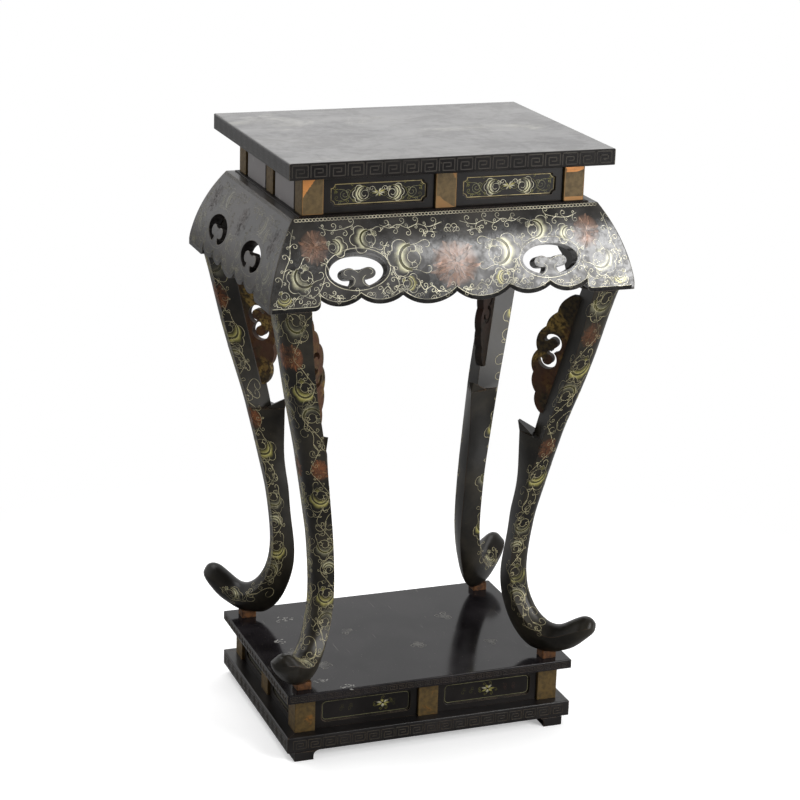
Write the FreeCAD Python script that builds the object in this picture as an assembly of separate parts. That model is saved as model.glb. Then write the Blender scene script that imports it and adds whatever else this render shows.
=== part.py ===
import FreeCAD, Part
import math
import os

# Lacquered vase stand. Millimetres; X is the width, the front faces -Y, Z is up, origin on the ground.

# overall sizes
body_length = 488.0          # over the lower corners of the aprons, along X
body_depth = 363.0           # the same along Y
total_height = 800.0

# heights of the layers, from the ground up; the legs take what is left
foot_height = 12.5
bottom_rail_height = 22.0
base_waist_height = 47.0
shelf_thickness = 13.0
foot_block_height = 10.5
apron_height = 106.5
moulding_height = 6.0
waist_height = 50.5
top_thickness = 21.0

# how far each layer stands inside the apron corners: along X, along Y
top_inset = (29.0, 18.5)
shelf_inset = (42.0, 35.0)
base_waist_inset = (57.0, 47.0)
bottom_inset = (43.0, 33.0)
moulding_reach = 5.0         # moulding beyond the faces of the waist posts
apron_ledge = (10.5, 4.5)    # top edge of the aprons beyond the moulding, along X and Y

# frames with a floating panel
fit = 0.1                    # clearance in every groove, mortise and dowel hole
cut_margin = 1.0             # how far a through cut starts outside the wood
top_rail_width = 60.0
top_panel_thickness = 12.0
shelf_rail_width = 50.0
shelf_panel_thickness = 9.0
tongue_depth = 7.0
tongue_lip = 3.0             # wood above the tongue of a floating panel
tongue_thickness = 4.0
slab_edge_round = 1.5
brace_width = 44.0
brace_tenon = 6.0
moulding_width = 50.0
moulding_edge_round = 1.2
moulding_sunk = 4.5          # moulding let into the aprons and the leg heads
bottom_rail_width = 46.0

# posts and waist panels
post_size = 28.0
post_edge_round = 0.8
post_tenon = 14.0
post_tenon_length = 3.0
post_proud = 4.0             # posts stand out from the panels
panel_thickness = 12.0
panel_tongue = 4.0
panel_tongue_thickness = 6.0
cartouche_depth = 2.5
cartouche_end_margin = 10.0
cartouche_edge_margins = {"notched": (8.5, 14.0), "rounded": (9.0, 9.0)}    # below, above
cartouche_notch = 5.0        # radius of the notch in a cartouche corner
field_margin = 7.0           # rebate at the ends of a raised field
field_height = 5.0
field_set_back = 1.0         # raised fields inside the faces of the posts
base_cartouche_round = 6.0

# aprons
apron_thickness = 16.0
apron_overhang = 40.0        # lower edge beyond the upper edge
apron_bulge = 6.0
apron_rim = 8.0              # upright part at the lower edge
corner_block_round = 8.0     # end of the unscalloped corner, at the outermost cusps
cusp_rise = 13.0             # cusps above the lowest edge
small_lobe_rise = 4.0
front_cusps = (178.0, 126.0, 71.5, 0.0)    # distances from the middle of the apron
side_cusps = (115.5, 69.5, 30.5)
cloud_width = 75.0
cloud_height = 38.5
cloud_lean = 21.0            # degrees; the cut-outs are sawn slanting down into the wood
cloud_rise = 45.0            # middle of the cut-out above the lowest edge
cloud_inset = 9.0            # the face at the middle of the cut-out, inside the lower edge
front_cloud_offset = 128.0   # middle of the cut-outs from the middle of the apron
side_cloud_offset = 73.0
tongue_curl_half = (9.5, 7.2)   # half width and half height of each curl
tongue_curl_offset = 12.8
tongue_curl_drop = 3.0       # curl middle below the middle of the cut-out
tongue_dip = 2.5             # the wood between the curls below their tops
tongue_bridge_end = 1.0      # the wood between the curls stops short of their middles
tongue_neck = 15.0           # width where the curls spring from
tongue_hollow = 8.5         # radius of the hollow under each curl

# legs: insets are measured along a diagonal from the leg's own corner, heights from the foot block,
# both drawn for a leg of leg_drawn_height and stretched to the real height
leg_drawn_height = 518.5
leg_shift = (-3.0, 8.5)      # the leg's corner from the apron corner, outward along X and Y
head_size = 50.0
head_tenon = 16.0
head_tenon_length = 2.5
shoulder_share = 0.36        # depth of the rounded outer side as a share of the width
shoulder_most = 0.5          # but no more than this share of the section's depth
shoulder_pull = 0.4          # where the handle of the outer curve lies between its ends
round_pull = 0.55            # the same for an inner side that is fully round
spur_level = 304.5
spur_tip = (150.0, 320.0)
spur_tip_half_width = 3.5
spur_half_width = 13.0
spur_root = 124.0
# outer inset, outer height, inner inset, inner height, width, roundness of the inner side
upper_stations = (
    (22.0, 518.5, 70.0, 518.5, 60.0, 0.0),
    (36.5, 472.0, 83.0, 472.0, 53.0, 0.0),
    (53.5, 412.0, 99.0, 412.0, 49.0, 0.0),
    (73.5, 354.0, 115.5, 354.0, 47.5, 0.0),
    (90.4, spur_level, 128.0, spur_level, 46.2, 0.0),
)
lower_stations = (
    (90.4, spur_level, 148.5, spur_level, 46.2, 0.2),
    (95.9, 285.0, 148.3, 285.0, 45.3, 0.2),
    (103.5, 258.0, 148.0, 258.0, 44.0, 0.2),
    (115.0, 215.0, 151.5, 215.0, 42.0, 0.15),
    (124.5, 170.0, 158.0, 170.0, 40.5, 0.1),
    (129.7, 117.0, 165.2, 117.0, 39.6, 0.1),
    (127.0, 87.0, 165.5, 82.0, 39.0, 0.2),
    (117.0, 61.0, 156.0, 46.0, 38.5, 0.4),
    (103.0, 44.5, 140.0, 17.0, 38.0, 0.6),
    (86.0, 37.0, 113.0, -3.0, 38.0, 0.8),
    (69.5, 42.0, 80.0, -2.0, 38.5, 0.9),
    (55.0, 51.5, 54.5, 10.5, 39.5, 1.0),
    (43.0, 57.0, 39.0, 24.5, 37.0, 1.0),
    (33.5, 56.0, 30.5, 33.5, 27.0, 1.0),
    (28.5, 50.5, 27.0, 40.0, 12.0, 1.0),
)
foot_block_size = 20.5
foot_block_round = 2.0
foot_block_inset = 94.0
dowel_diameter = 8.0
dowel_in_leg = 16.0
dowel_floor = 0.8            # wood between a dowel hole and the tenon of the post below it

# spandrels, drawn in the same diagonal plane and heights as the legs
spandrel_thickness = 10.0
spandrel_seat = ((67.5, 501.0), (86.0, 424.0), (110.0, 336.0))
spandrel_cusps = ((82.0, 501.0), (101.6, 476.0), (116.2, 455.5), (126.9, 422.0),
                  (131.3, 391.0), (127.1, 364.0), (119.0, 336.0))
spandrel_lobes = ((95.5, 491.0), (112.0, 467.0), (128.5, 438.0),
                  (134.5, 404.5), (133.0, 378.0), (127.8, 350.0))
slot_width = 5.8
slot_radius = 10.0
slot_upper = (106.5, 433.0)
slot_lower = (112.5, 410.5)
slot_upper_turn = (150.0, -78.0)   # start and end of each curve in degrees; the two curves meet
slot_lower_turn = (78.0, -175.0)

# bracket feet
bracket_length = 26.0
bracket_cove = 7.0
bracket_depth = 28.0
bracket_side_inset = 10.0

# derived heights
bottom_rail_top = foot_height + bottom_rail_height
shelf_bottom = bottom_rail_top + base_waist_height
shelf_top = shelf_bottom + shelf_thickness
leg_bottom = shelf_top + foot_block_height
top_bottom = total_height - top_thickness
waist_bottom = top_bottom - waist_height
moulding_bottom = waist_bottom - moulding_height
apron_top = moulding_bottom + moulding_sunk
apron_bottom = apron_top - apron_height
leg_stretch = (apron_bottom - leg_bottom) / leg_drawn_height

body_half = (body_length / 2, body_depth / 2)
SIDE_TURN = {"front": 0.0, "right": 90.0, "back": 180.0, "left": 270.0}
CORNERS = {"front_left": (-1, -1), "front_right": (1, -1), "back_left": (-1, 1), "back_right": (1, 1)}
V = FreeCAD.Vector
UP = V(0, 0, 1)


def half_sizes(inset):
    """Half length and half depth of a layer that stands inside the apron corners."""
    return body_half[0] - inset[0], body_half[1] - inset[1]


def along_and_out(side, half):
    """Half length along a side and distance of its face from the middle."""
    return half if side in ("front", "back") else (half[1], half[0])


def turned(shape, side):
    """A shape drawn on the front, turned to another side."""
    copy = shape.copy()
    copy.rotate(V(0, 0, 0), UP, SIDE_TURN[side])
    return copy


def at_corner(shape, signs):
    """A shape drawn in the quarter with positive X and Y, mirrored to another corner."""
    if signs[0] < 0:
        shape = shape.mirror(V(0, 0, 0), V(1, 0, 0))
    if signs[1] < 0:
        shape = shape.mirror(V(0, 0, 0), V(0, 1, 0))
    return shape


def box(x_range, y_range, z_range):
    size = [r[1] - r[0] for r in (x_range, y_range, z_range)]
    return Part.makeBox(size[0], size[1], size[2], V(x_range[0], y_range[0], z_range[0]))


def centred_box(x, y, size, z_range):
    return box((x - size / 2, x + size / 2), (y - size / 2, y + size / 2), z_range)


def plate(half, z_range):
    return box((-half[0], half[0]), (-half[1], half[1]), z_range)


def prism(points, direction):
    return Part.Face(Part.makePolygon(list(points) + [points[0]])).extrude(direction)


def outward_edges(solid, along, out, z_levels):
    """Long edges on the outer face of a piece drawn on the front, at the given heights."""
    found = []
    for edge in solid.Edges:
        middle = edge.CenterOfMass
        on_face = abs(middle.y + out) < 1e-3 and edge.Length > along
        if on_face and any(abs(middle.z - z) < 1e-3 for z in z_levels):
            found.append(edge)
    return found


def mitred_rail(side, half, width, z_range, edge_round=0.0):
    """A rail of a frame with its ends cut at 45 degrees, its outer edges rounded."""
    along, out = along_and_out(side, half)
    corners = ((-along, -out), (along, -out), (along - width, width - out), (width - along, width - out))
    rail = prism([V(x, y, z_range[0]) for x, y in corners], UP * (z_range[1] - z_range[0]))
    if edge_round:
        rail = rail.makeFillet(edge_round, outward_edges(rail, along, out, z_range))
    return turned(rail, side)


def floating_panel(half, rail_width, z_top, thickness):
    """A panel with a tongue all round, and the room that its tongue takes in the rails."""
    opening = (half[0] - rail_width, half[1] - rail_width)
    tongue_top = z_top - tongue_lip
    tongue_range = (tongue_top - tongue_thickness, tongue_top)
    board = plate((opening[0] - fit, opening[1] - fit), (z_top - thickness, z_top))
    tongue = plate((opening[0] + tongue_depth - fit, opening[1] + tongue_depth - fit), tongue_range)
    groove = plate((opening[0] + tongue_depth, opening[1] + tongue_depth),
                   (tongue_range[0] - fit, tongue_range[1] + fit))
    return board.fuse(tongue).removeSplitter(), groove


def post_places(half):
    """Middles of the corner posts and middle posts of a waist, by name."""
    x = half[0] - post_size / 2
    y = half[1] - post_size / 2
    corners = {name: (x * signs[0], y * signs[1]) for name, signs in CORNERS.items()}
    middles = {"front": (0.0, -y), "back": (0.0, y), "left": (-x, 0.0), "right": (x, 0.0)}
    return corners, middles


def post_solid(place, z_range):
    post = centred_box(place[0], place[1], post_size, z_range)
    uprights = [e for e in post.Edges if abs(e.tangentAt(e.FirstParameter).z) > 0.5]
    post = post.makeFillet(post_edge_round, uprights)
    tenon_range = (z_range[0] - post_tenon_length, z_range[1] + post_tenon_length)
    return post.fuse(centred_box(place[0], place[1], post_tenon, tenon_range)).removeSplitter()


def post_mortises(places, z_range):
    """Room for the tenons of all posts of a waist."""
    reach = post_tenon_length + fit
    room_range = (z_range[0] - reach, z_range[1] + reach)
    return Part.makeCompound([centred_box(x, y, post_tenon + 2 * fit, room_range) for x, y in places])


def cartouche(x_range, y_range, z_range, notched):
    """Cutter for a sunk cartouche with notched or rounded corners."""
    cutter = box(x_range, y_range, z_range)
    depth = y_range[1] - y_range[0]
    if not notched:
        short_edges = [e for e in cutter.Edges if abs(e.tangentAt(e.FirstParameter).y) > 0.5]
        return cutter.makeFillet(base_cartouche_round, short_edges)
    for x in x_range:
        for z in z_range:
            cutter = cutter.cut(Part.makeCylinder(cartouche_notch, depth, V(x, y_range[0], z), V(0, 1, 0)))
    return cutter


def waist_panels(side, half, z_range, style):
    """Two panels of one side, with their tongues, and the grooves that the tongues take in the posts."""
    along, out = along_and_out(side, half)
    face = (field_set_back if style == "field" else post_proud) - out
    start = post_size / 2
    end = along - post_size
    panels = []
    grooves = []
    tongue_y = face + panel_thickness / 2
    for direction in (-1, 1):
        x_range = tuple(sorted((direction * start, direction * end)))
        inner = (x_range[0] + fit, x_range[1] - fit)
        body = box(inner, (face, face + panel_thickness), z_range)
        tongue_y_range = (tongue_y - panel_tongue_thickness / 2, tongue_y + panel_tongue_thickness / 2)
        tongue = box((inner[0] - panel_tongue, inner[1] + panel_tongue), tongue_y_range, z_range)
        room = box((x_range[0] - panel_tongue, x_range[1] + panel_tongue),
                   (tongue_y_range[0] - fit, tongue_y_range[1] + fit), z_range)
        panel = body.fuse(tongue).removeSplitter()
        if style == "field":
            for x0, x1 in ((inner[0], inner[0] + field_margin), (inner[1] - field_margin, inner[1])):
                panel = panel.cut(box((x0, x1), (face, face + field_height), z_range))
        else:
            sunk_x = (inner[0] + cartouche_end_margin, inner[1] - cartouche_end_margin)
            below, above = cartouche_edge_margins[style]
            sunk_z = (z_range[0] + below, z_range[1] - above)
            panel = panel.cut(cartouche(sunk_x, (face, face + cartouche_depth), sunk_z, style == "notched"))
        panels.append(turned(panel, side))
        grooves.append(turned(room, side))
    return panels, grooves


def apron_profile(out, from_outside, to_outside):
    """Section of a bulged board drawn on the front, between two distances inside the apron's face."""
    rim_top = apron_bottom + apron_rim
    rise = apron_top - rim_top
    chord = math.hypot(apron_overhang, rise)
    middle = (apron_overhang / 2 - apron_bulge * rise / chord,
              rim_top + rise / 2 + apron_bulge * apron_overhang / chord)

    def arc(inset):
        ends = (V(0, inset - out, rim_top), V(0, inset + apron_overhang - out, apron_top))
        return Part.Arc(ends[0], V(0, inset + middle[0] - out, middle[1]), ends[1]).toShape(), ends

    outer_arc, outer_ends = arc(from_outside)
    inner_arc, inner_ends = arc(to_outside)
    lower_outer = V(0, from_outside - out, apron_bottom)
    lower_inner = V(0, to_outside - out, apron_bottom)
    edges = [outer_arc, inner_arc]
    edges.append(Part.makeLine(lower_outer, outer_ends[0]))
    edges.append(Part.makeLine(outer_ends[1], inner_ends[1]))
    edges.append(Part.makeLine(inner_ends[0], lower_inner))
    edges.append(Part.makeLine(lower_inner, lower_outer))
    return Part.Face(Part.Wire(Part.__sortEdges__(edges)))


def bulged_bar(half_length, out, from_outside, to_outside):
    face = apron_profile(out, from_outside, to_outside)
    face.translate(V(-half_length, 0, 0))
    return face.extrude(V(2 * half_length, 0, 0))


def scallop_cutter(out, cusps):
    """What is sawn away below the scalloped edge of an apron."""
    span = cusps[0]
    y = -out - cut_margin
    low = apron_bottom
    cusp_z = low + cusp_rise
    xs = [-x for x in cusps] + [x for x in reversed(cusps) if x > 0]
    r = corner_block_round
    turn = r * (1 - math.sqrt(0.5))
    edges = []
    for direction in (-1, 1):
        foot = V(direction * (span + r), y, low)
        bend = V(direction * (span + turn), y, low + turn)
        top = V(direction * span, y, low + r)
        edges.append(Part.Arc(foot, bend, top).toShape())
        edges.append(Part.makeLine(top, V(direction * span, y, cusp_z)))
        edges.append(Part.makeLine(foot, V(direction * (span + r), y, low - 2 * r)))
    edges.append(Part.makeLine(V(-span - r, y, low - 2 * r), V(span + r, y, low - 2 * r)))
    widest = max(b - a for a, b in zip(xs, xs[1:]))
    for a, b in zip(xs, xs[1:]):
        is_widest = b - a > widest - 1e-6
        lobe_z = low if is_widest else low + small_lobe_rise
        edges.append(Part.Arc(V(a, y, cusp_z), V((a + b) / 2, y, lobe_z), V(b, y, cusp_z)).toShape())
    face = Part.Face(Part.Wire(Part.__sortEdges__(edges)))
    return face.extrude(V(0, apron_overhang + apron_thickness + 2 * cut_margin, 0))


def cloud_cutter(x, out):
    """Oval cut-out with a two-curled tongue rising from its lower edge, sawn at a slant."""
    z = apron_bottom + cloud_rise
    reach = apron_overhang + apron_thickness
    y = -out - reach + cloud_inset
    depth = V(0, 2 * reach, 0)
    oval = Part.Ellipse(V(x + cloud_width / 2, y, z), V(x, y, z + cloud_height / 2), V(x, y, z))
    hole = Part.Face(Part.Wire(oval.toShape())).extrude(depth)
    y_range = (y, y + depth.y)
    half_width, half_height = tongue_curl_half
    curl_z = z - tongue_curl_drop
    under_z = curl_z - half_height
    hollow_x = tongue_neck / 2 + tongue_hollow
    bridge_x = tongue_curl_offset - tongue_bridge_end
    tongue = box((x - hollow_x, x + hollow_x), y_range, (z - cloud_height, curl_z))
    for side in (-1, 1):
        middle = V(x + side * hollow_x, y, under_z)
        tongue = tongue.cut(Part.makeCylinder(tongue_hollow, depth.y, middle, V(0, 1, 0)))
    bridge = box((x - bridge_x, x + bridge_x), y_range, (under_z, curl_z + half_height - tongue_dip))
    tongue = tongue.fuse(bridge)
    for side in (-1, 1):
        middle = V(x + side * tongue_curl_offset, y, curl_z)
        curl = Part.Ellipse(middle + V(half_width, 0, 0), middle + V(0, 0, half_height), middle)
        tongue = tongue.fuse(Part.Face(Part.Wire(curl.toShape())).extrude(depth))
    cutter = hole.cut(tongue)
    cutter.rotate(V(x, y + reach, z), V(1, 0, 0), -cloud_lean)
    return cutter


def moulding_half():
    """Half length and half depth over the waist moulding."""
    return half_sizes([apron_overhang + ledge for ledge in apron_ledge])


def moulding_room():
    """What the waist moulding takes out of the tops of the aprons and the leg heads."""
    half_x, half_y = moulding_half()
    return plate((half_x + fit, half_y + fit), (moulding_bottom, apron_top + cut_margin))


def apron(side):
    along, out = along_and_out(side, body_half)
    is_long = side in ("front", "back")
    bar = bulged_bar(along, out, 0.0, apron_thickness)
    ends = mitred_rail("front", (along, out), apron_overhang + apron_thickness, (apron_bottom, apron_top))
    board = bar.common(ends)
    board = board.cut(scallop_cutter(out, front_cusps if is_long else side_cusps))
    cloud_x = front_cloud_offset if is_long else side_cloud_offset
    for x in (-cloud_x, cloud_x):
        board = board.cut(cloud_cutter(x, out))
    return turned(board, side).cut(moulding_room())


def diagonal_point(inset, height, offset=0.0):
    """Point of the leg's diagonal plane in the quarter with positive X and Y, moved across it by offset."""
    step = math.sqrt(0.5)
    x = body_half[0] + leg_shift[0] - (inset + offset) * step
    y = body_half[1] + leg_shift[1] - (inset - offset) * step
    return V(x, y, leg_bottom + height * leg_stretch)


def bezier(points):
    curve = Part.BezierCurve()
    curve.setPoles(points)
    return curve.toShape()


def leg_section(outer_inset, outer_height, inner_inset, inner_height, width, roundness):
    """Closed section of a leg: a ridge on the inner side, a rounded corner on the outer side."""
    depth = math.hypot(inner_inset - outer_inset, (outer_height - inner_height) * leg_stretch)

    def point(share, offset):
        inset = outer_inset + (inner_inset - outer_inset) * share
        height = outer_height + (inner_height - outer_height) * share
        return diagonal_point(inset, height, offset)

    def blend(straight, rounded):
        return straight + (rounded - straight) * roundness

    shoulder = min(shoulder_share * width / depth, shoulder_most)
    edges = []
    for hand in (1, -1):
        half_width = hand * width / 2
        flat = half_width - hand * shoulder * depth
        outer = (point(0, 0), point(0, (flat + half_width) / 3),
                 point(shoulder * shoulder_pull, flat + (half_width - flat) * shoulder_pull),
                 point(shoulder, half_width))
        inner_share = 1 - shoulder
        inner = (point(shoulder, half_width),
                 point(shoulder + inner_share * blend(1 / 3, round_pull), half_width * blend(2 / 3, 1.0)),
                 point(shoulder + inner_share * blend(2 / 3, 1.0), half_width * blend(1 / 3, round_pull)),
                 point(1, 0))
        edges += [bezier(outer), bezier(inner)] if hand == 1 else [bezier(inner), bezier(outer)]
    return Part.Wire(Part.__sortEdges__(edges))


def leg_solid():
    upper = Part.makeLoft([leg_section(*row) for row in upper_stations], True, False)
    lower = Part.makeLoft([leg_section(*row) for row in lower_stations], True, False)
    left_tip, right_tip = (diagonal_point(*spur_tip, hand * spur_tip_half_width) for hand in (-1, 1))
    left_root, right_root = (diagonal_point(spur_root, spur_level, hand * spur_half_width) for hand in (-1, 1))
    ridge = diagonal_point(lower_stations[0][2], spur_level)
    outlines = ((left_root, right_root, right_tip, left_tip), (left_tip, right_tip, ridge),
                (left_root, left_tip, ridge), (right_root, right_tip, ridge), (left_root, right_root, ridge))
    faces = [Part.Face(Part.makePolygon(list(outline) + [outline[0]])) for outline in outlines]
    spur = Part.makeSolid(Part.makeShell(faces))
    inside = apron_thickness + fit
    reach = body_half[0] + body_half[1]
    head_bars = [turned(bulged_bar(reach, out, inside, inside + head_size), side)
                 for side, out in (("right", body_half[0]), ("back", body_half[1]))]
    head = head_bars[0].common(head_bars[1])
    head = head.common(box((0, reach), (0, reach), (apron_bottom, moulding_bottom)))
    tenon_x, tenon_y = head_tenon_place()
    tenon_range = (moulding_bottom - head_tenon, moulding_bottom + head_tenon_length)
    tenon = centred_box(tenon_x, tenon_y, head_tenon, tenon_range)
    leg = upper.fuse([lower, spur, head, tenon]).removeSplitter()
    x, y = foot_place()
    ground = centred_box(x, y, 2 * foot_block_inset, (shelf_bottom, leg_bottom))
    return leg.cut([ground, dowel_solid(fit), spandrel_blank(fit)])


def head_tenon_place():
    inset = apron_thickness + fit + apron_overhang + head_size / 2
    return body_half[0] - inset, body_half[1] - inset


def foot_place():
    point = diagonal_point(foot_block_inset, 0.0)
    return point.x, point.y


def dowel_solid(clearance):
    x, y = foot_place()
    low = shelf_bottom + post_tenon_length + dowel_floor + 2 * fit - clearance
    length = leg_bottom + dowel_in_leg + clearance - low
    return Part.makeCylinder(dowel_diameter / 2 + clearance, length, V(x, y, low))


def foot_block():
    x, y = foot_place()
    block = centred_box(x, y, foot_block_size, (shelf_top, leg_bottom))
    uprights = [e for e in block.Edges if abs(e.tangentAt(e.FirstParameter).z) > 0.5]
    return block.makeFillet(foot_block_round, uprights).cut(dowel_solid(fit))


def diagonal_face(edges, thickness):
    """Board of the given thickness from edges drawn in the leg's diagonal plane."""
    across = (diagonal_point(0, 0, 1) - diagonal_point(0, 0)).normalize()
    face = Part.Face(Part.Wire(Part.__sortEdges__(edges)))
    face.translate(across * (-thickness / 2))
    return face.extrude(across * thickness)


def spandrel_blank(clearance):
    """Outline of a spandrel; with a clearance it is the room for it in the leg."""
    seat = [diagonal_point(inset - clearance, height) for inset, height in spandrel_seat]
    cusps = [diagonal_point(inset, height) for inset, height in spandrel_cusps]
    lobes = [diagonal_point(inset, height) for inset, height in spandrel_lobes]
    lift = UP * clearance
    seat[0] = seat[0] + lift
    seat[-1] = seat[-1] - lift
    cusps[0] = cusps[0] + lift
    cusps[-1] = cusps[-1] - lift
    edges = [Part.Arc(a, lobe, b).toShape() for a, lobe, b in zip(cusps, lobes, cusps[1:])]
    edges += [Part.makeLine(a, b) for a, b in zip(seat, seat[1:])]
    edges += [Part.makeLine(cusps[0], seat[0]), Part.makeLine(cusps[-1], seat[-1])]
    return diagonal_face(edges, spandrel_thickness + 2 * clearance)


def arc_slot(middle, start_angle, end_angle):
    """Cutter for a curved slot with round ends; angles from the outward diagonal towards up."""
    def on(radius, angle):
        turn = math.radians(angle)
        return diagonal_point(middle[0] - radius * math.cos(turn), middle[1] + radius * math.sin(turn))

    def cap(angle, ahead):
        beyond = math.degrees(slot_width / 2 / slot_radius) * ahead
        return Part.Arc(on(inner, angle), on(slot_radius, angle + beyond), on(outer, angle)).toShape()

    inner = slot_radius - slot_width / 2
    outer = slot_radius + slot_width / 2
    halfway = (start_angle + end_angle) / 2
    ahead = 1 if end_angle > start_angle else -1
    edges = [Part.Arc(on(r, start_angle), on(r, halfway), on(r, end_angle)).toShape() for r in (inner, outer)]
    edges += [cap(start_angle, -ahead), cap(end_angle, ahead)]
    return diagonal_face(edges, 2 * spandrel_thickness)


def spandrel_solid():
    slots = [arc_slot(slot_upper, *slot_upper_turn), arc_slot(slot_lower, *slot_lower_turn)]
    return spandrel_blank(0.0).cut(slots)


def bracket_foot(half):
    """Block under the end of a bottom rail, with a cove towards the middle."""
    outer = half[0] - bracket_side_inset
    inner = outer - bracket_length
    y = half[1] - bracket_depth
    r = bracket_cove
    bend = r * (1 - math.sqrt(0.5))
    corners = (V(outer, y, foot_height), V(outer, y, 0), V(inner, y, 0), V(inner, y, foot_height - r))
    edges = [Part.makeLine(a, b) for a, b in zip(corners, corners[1:])]
    cove_end = V(inner - r, y, foot_height)
    edges.append(Part.Arc(corners[-1], V(inner - bend, y, foot_height - bend), cove_end).toShape())
    edges.append(Part.makeLine(cove_end, corners[0]))
    return Part.Face(Part.Wire(Part.__sortEdges__(edges))).extrude(V(0, bracket_depth, 0))


parts = {}


def waist(prefix, half, z_range, side_style, front_style, rails):
    """Posts and panels of a waist; cuts their mortises into the given rails."""
    corners, middles = post_places(half)
    mortises = post_mortises(list(corners.values()) + list(middles.values()), z_range)
    grooves = []
    for side in SIDE_TURN:
        style = front_style if side in ("front", "back") else side_style
        panels, rooms = waist_panels(side, half, z_range, style)
        parts[prefix + "_panels_" + side] = Part.makeCompound(panels)
        grooves += rooms
    for name, place in corners.items():
        parts[prefix + "_corner_post_" + name] = post_solid(place, z_range).cut(grooves)
    middle_posts = {side: post_solid(place, z_range).cut(grooves) for side, place in middles.items()}
    for name in rails:
        parts[name] = parts[name].cut(mortises)
    return middle_posts


def build():
    top_half = half_sizes(top_inset)
    shelf_half = half_sizes(shelf_inset)
    base_half = half_sizes(base_waist_inset)
    bottom_half = half_sizes(bottom_inset)
    waist_half = tuple(half - moulding_reach for half in moulding_half())
    sides = tuple(SIDE_TURN)

    parts["top_panel"], top_groove = floating_panel(top_half, top_rail_width, total_height,
                                                    top_panel_thickness)
    parts["shelf_panel"], shelf_groove = floating_panel(shelf_half, shelf_rail_width, shelf_top,
                                                        shelf_panel_thickness)
    opening_y = top_half[1] - top_rail_width
    brace_range = (top_bottom, total_height - top_panel_thickness)
    brace_x = brace_width / 2
    brace_y = opening_y + brace_tenon
    parts["top_brace"] = plate((brace_x, brace_y), brace_range)
    brace_room = plate((brace_x + fit, brace_y + fit), (brace_range[0], brace_range[1] + fit))
    head_x, head_y = head_tenon_place()
    head_room_range = (moulding_bottom, moulding_bottom + head_tenon_length + fit)
    head_room = centred_box(head_x, head_y, head_tenon + 2 * fit, head_room_range)
    corner_cuts = [at_corner(head_room, signs) for signs in CORNERS.values()]
    dowel_cuts = [at_corner(dowel_solid(fit), signs) for signs in CORNERS.values()]
    for side in sides:
        rail = mitred_rail(side, top_half, top_rail_width, (top_bottom, total_height), slab_edge_round)
        parts["top_rail_" + side] = rail.cut([top_groove, brace_room])
        rail = mitred_rail(side, shelf_half, shelf_rail_width, (shelf_bottom, shelf_top), slab_edge_round)
        parts["shelf_rail_" + side] = rail.cut([shelf_groove] + dowel_cuts)
        rail = mitred_rail(side, moulding_half(), moulding_width, (moulding_bottom, waist_bottom),
                           moulding_edge_round)
        parts["waist_moulding_" + side] = rail.cut(corner_cuts)
        parts["bottom_rail_" + side] = mitred_rail(side, bottom_half, bottom_rail_width,
                                                   (foot_height, bottom_rail_top), slab_edge_round)
        parts["apron_" + side] = apron(side)

    upper_rails = [name + side for name in ("top_rail_", "waist_moulding_") for side in sides] + ["top_brace"]
    middle_posts = waist("waist", waist_half, (waist_bottom, top_bottom), "field", "notched", upper_rails)
    for side, post in middle_posts.items():
        parts["waist_mid_post_" + side] = post
    lower_rails = [name + side for name in ("shelf_rail_", "bottom_rail_") for side in sides]
    middle_posts = waist("base", base_half, (bottom_rail_top, shelf_bottom), "rounded", "rounded",
                         lower_rails)
    parts["base_mid_posts"] = Part.makeCompound(list(middle_posts.values()))

    corner_shapes = {"leg_": leg_solid(), "spandrel_": spandrel_solid(), "foot_block_": foot_block()}
    for name, signs in CORNERS.items():
        for prefix, shape in corner_shapes.items():
            parts[prefix + name] = at_corner(shape, signs)
    dowels = [at_corner(dowel_solid(0.0), signs) for signs in CORNERS.values()]
    parts["leg_dowels"] = Part.makeCompound(dowels)
    foot = bracket_foot(bottom_half)
    parts["bracket_feet"] = Part.makeCompound([at_corner(foot, signs) for signs in CORNERS.values()])


build()
os.makedirs("parts", exist_ok=True)
for node, shape in parts.items():
    shape.exportStep(os.path.join("parts", node + ".step"))
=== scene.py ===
import math
import random

import bmesh
import bpy
from mathutils import Matrix, Vector
from mathutils.bvhtree import BVHTree


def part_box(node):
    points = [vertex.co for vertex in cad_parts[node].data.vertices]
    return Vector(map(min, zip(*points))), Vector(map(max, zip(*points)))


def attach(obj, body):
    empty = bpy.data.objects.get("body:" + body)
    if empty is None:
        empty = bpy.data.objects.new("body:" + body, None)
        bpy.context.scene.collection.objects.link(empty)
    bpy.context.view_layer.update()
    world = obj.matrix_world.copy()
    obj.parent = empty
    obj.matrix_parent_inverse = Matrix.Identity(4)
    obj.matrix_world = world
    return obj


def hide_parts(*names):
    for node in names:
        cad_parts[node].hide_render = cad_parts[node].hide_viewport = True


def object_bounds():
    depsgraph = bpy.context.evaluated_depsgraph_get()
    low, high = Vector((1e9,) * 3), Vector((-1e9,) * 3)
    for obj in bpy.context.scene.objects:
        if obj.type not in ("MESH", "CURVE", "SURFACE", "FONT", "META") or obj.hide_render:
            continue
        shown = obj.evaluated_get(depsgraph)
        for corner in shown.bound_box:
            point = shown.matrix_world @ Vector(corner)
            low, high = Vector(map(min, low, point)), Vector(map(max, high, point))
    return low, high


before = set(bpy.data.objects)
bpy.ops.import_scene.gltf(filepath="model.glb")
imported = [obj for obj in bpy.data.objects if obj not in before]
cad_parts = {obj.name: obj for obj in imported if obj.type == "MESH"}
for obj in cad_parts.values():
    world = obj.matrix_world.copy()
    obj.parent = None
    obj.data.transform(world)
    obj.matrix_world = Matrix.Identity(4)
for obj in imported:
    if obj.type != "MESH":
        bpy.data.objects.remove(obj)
cad_low, cad_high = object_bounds()

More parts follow.
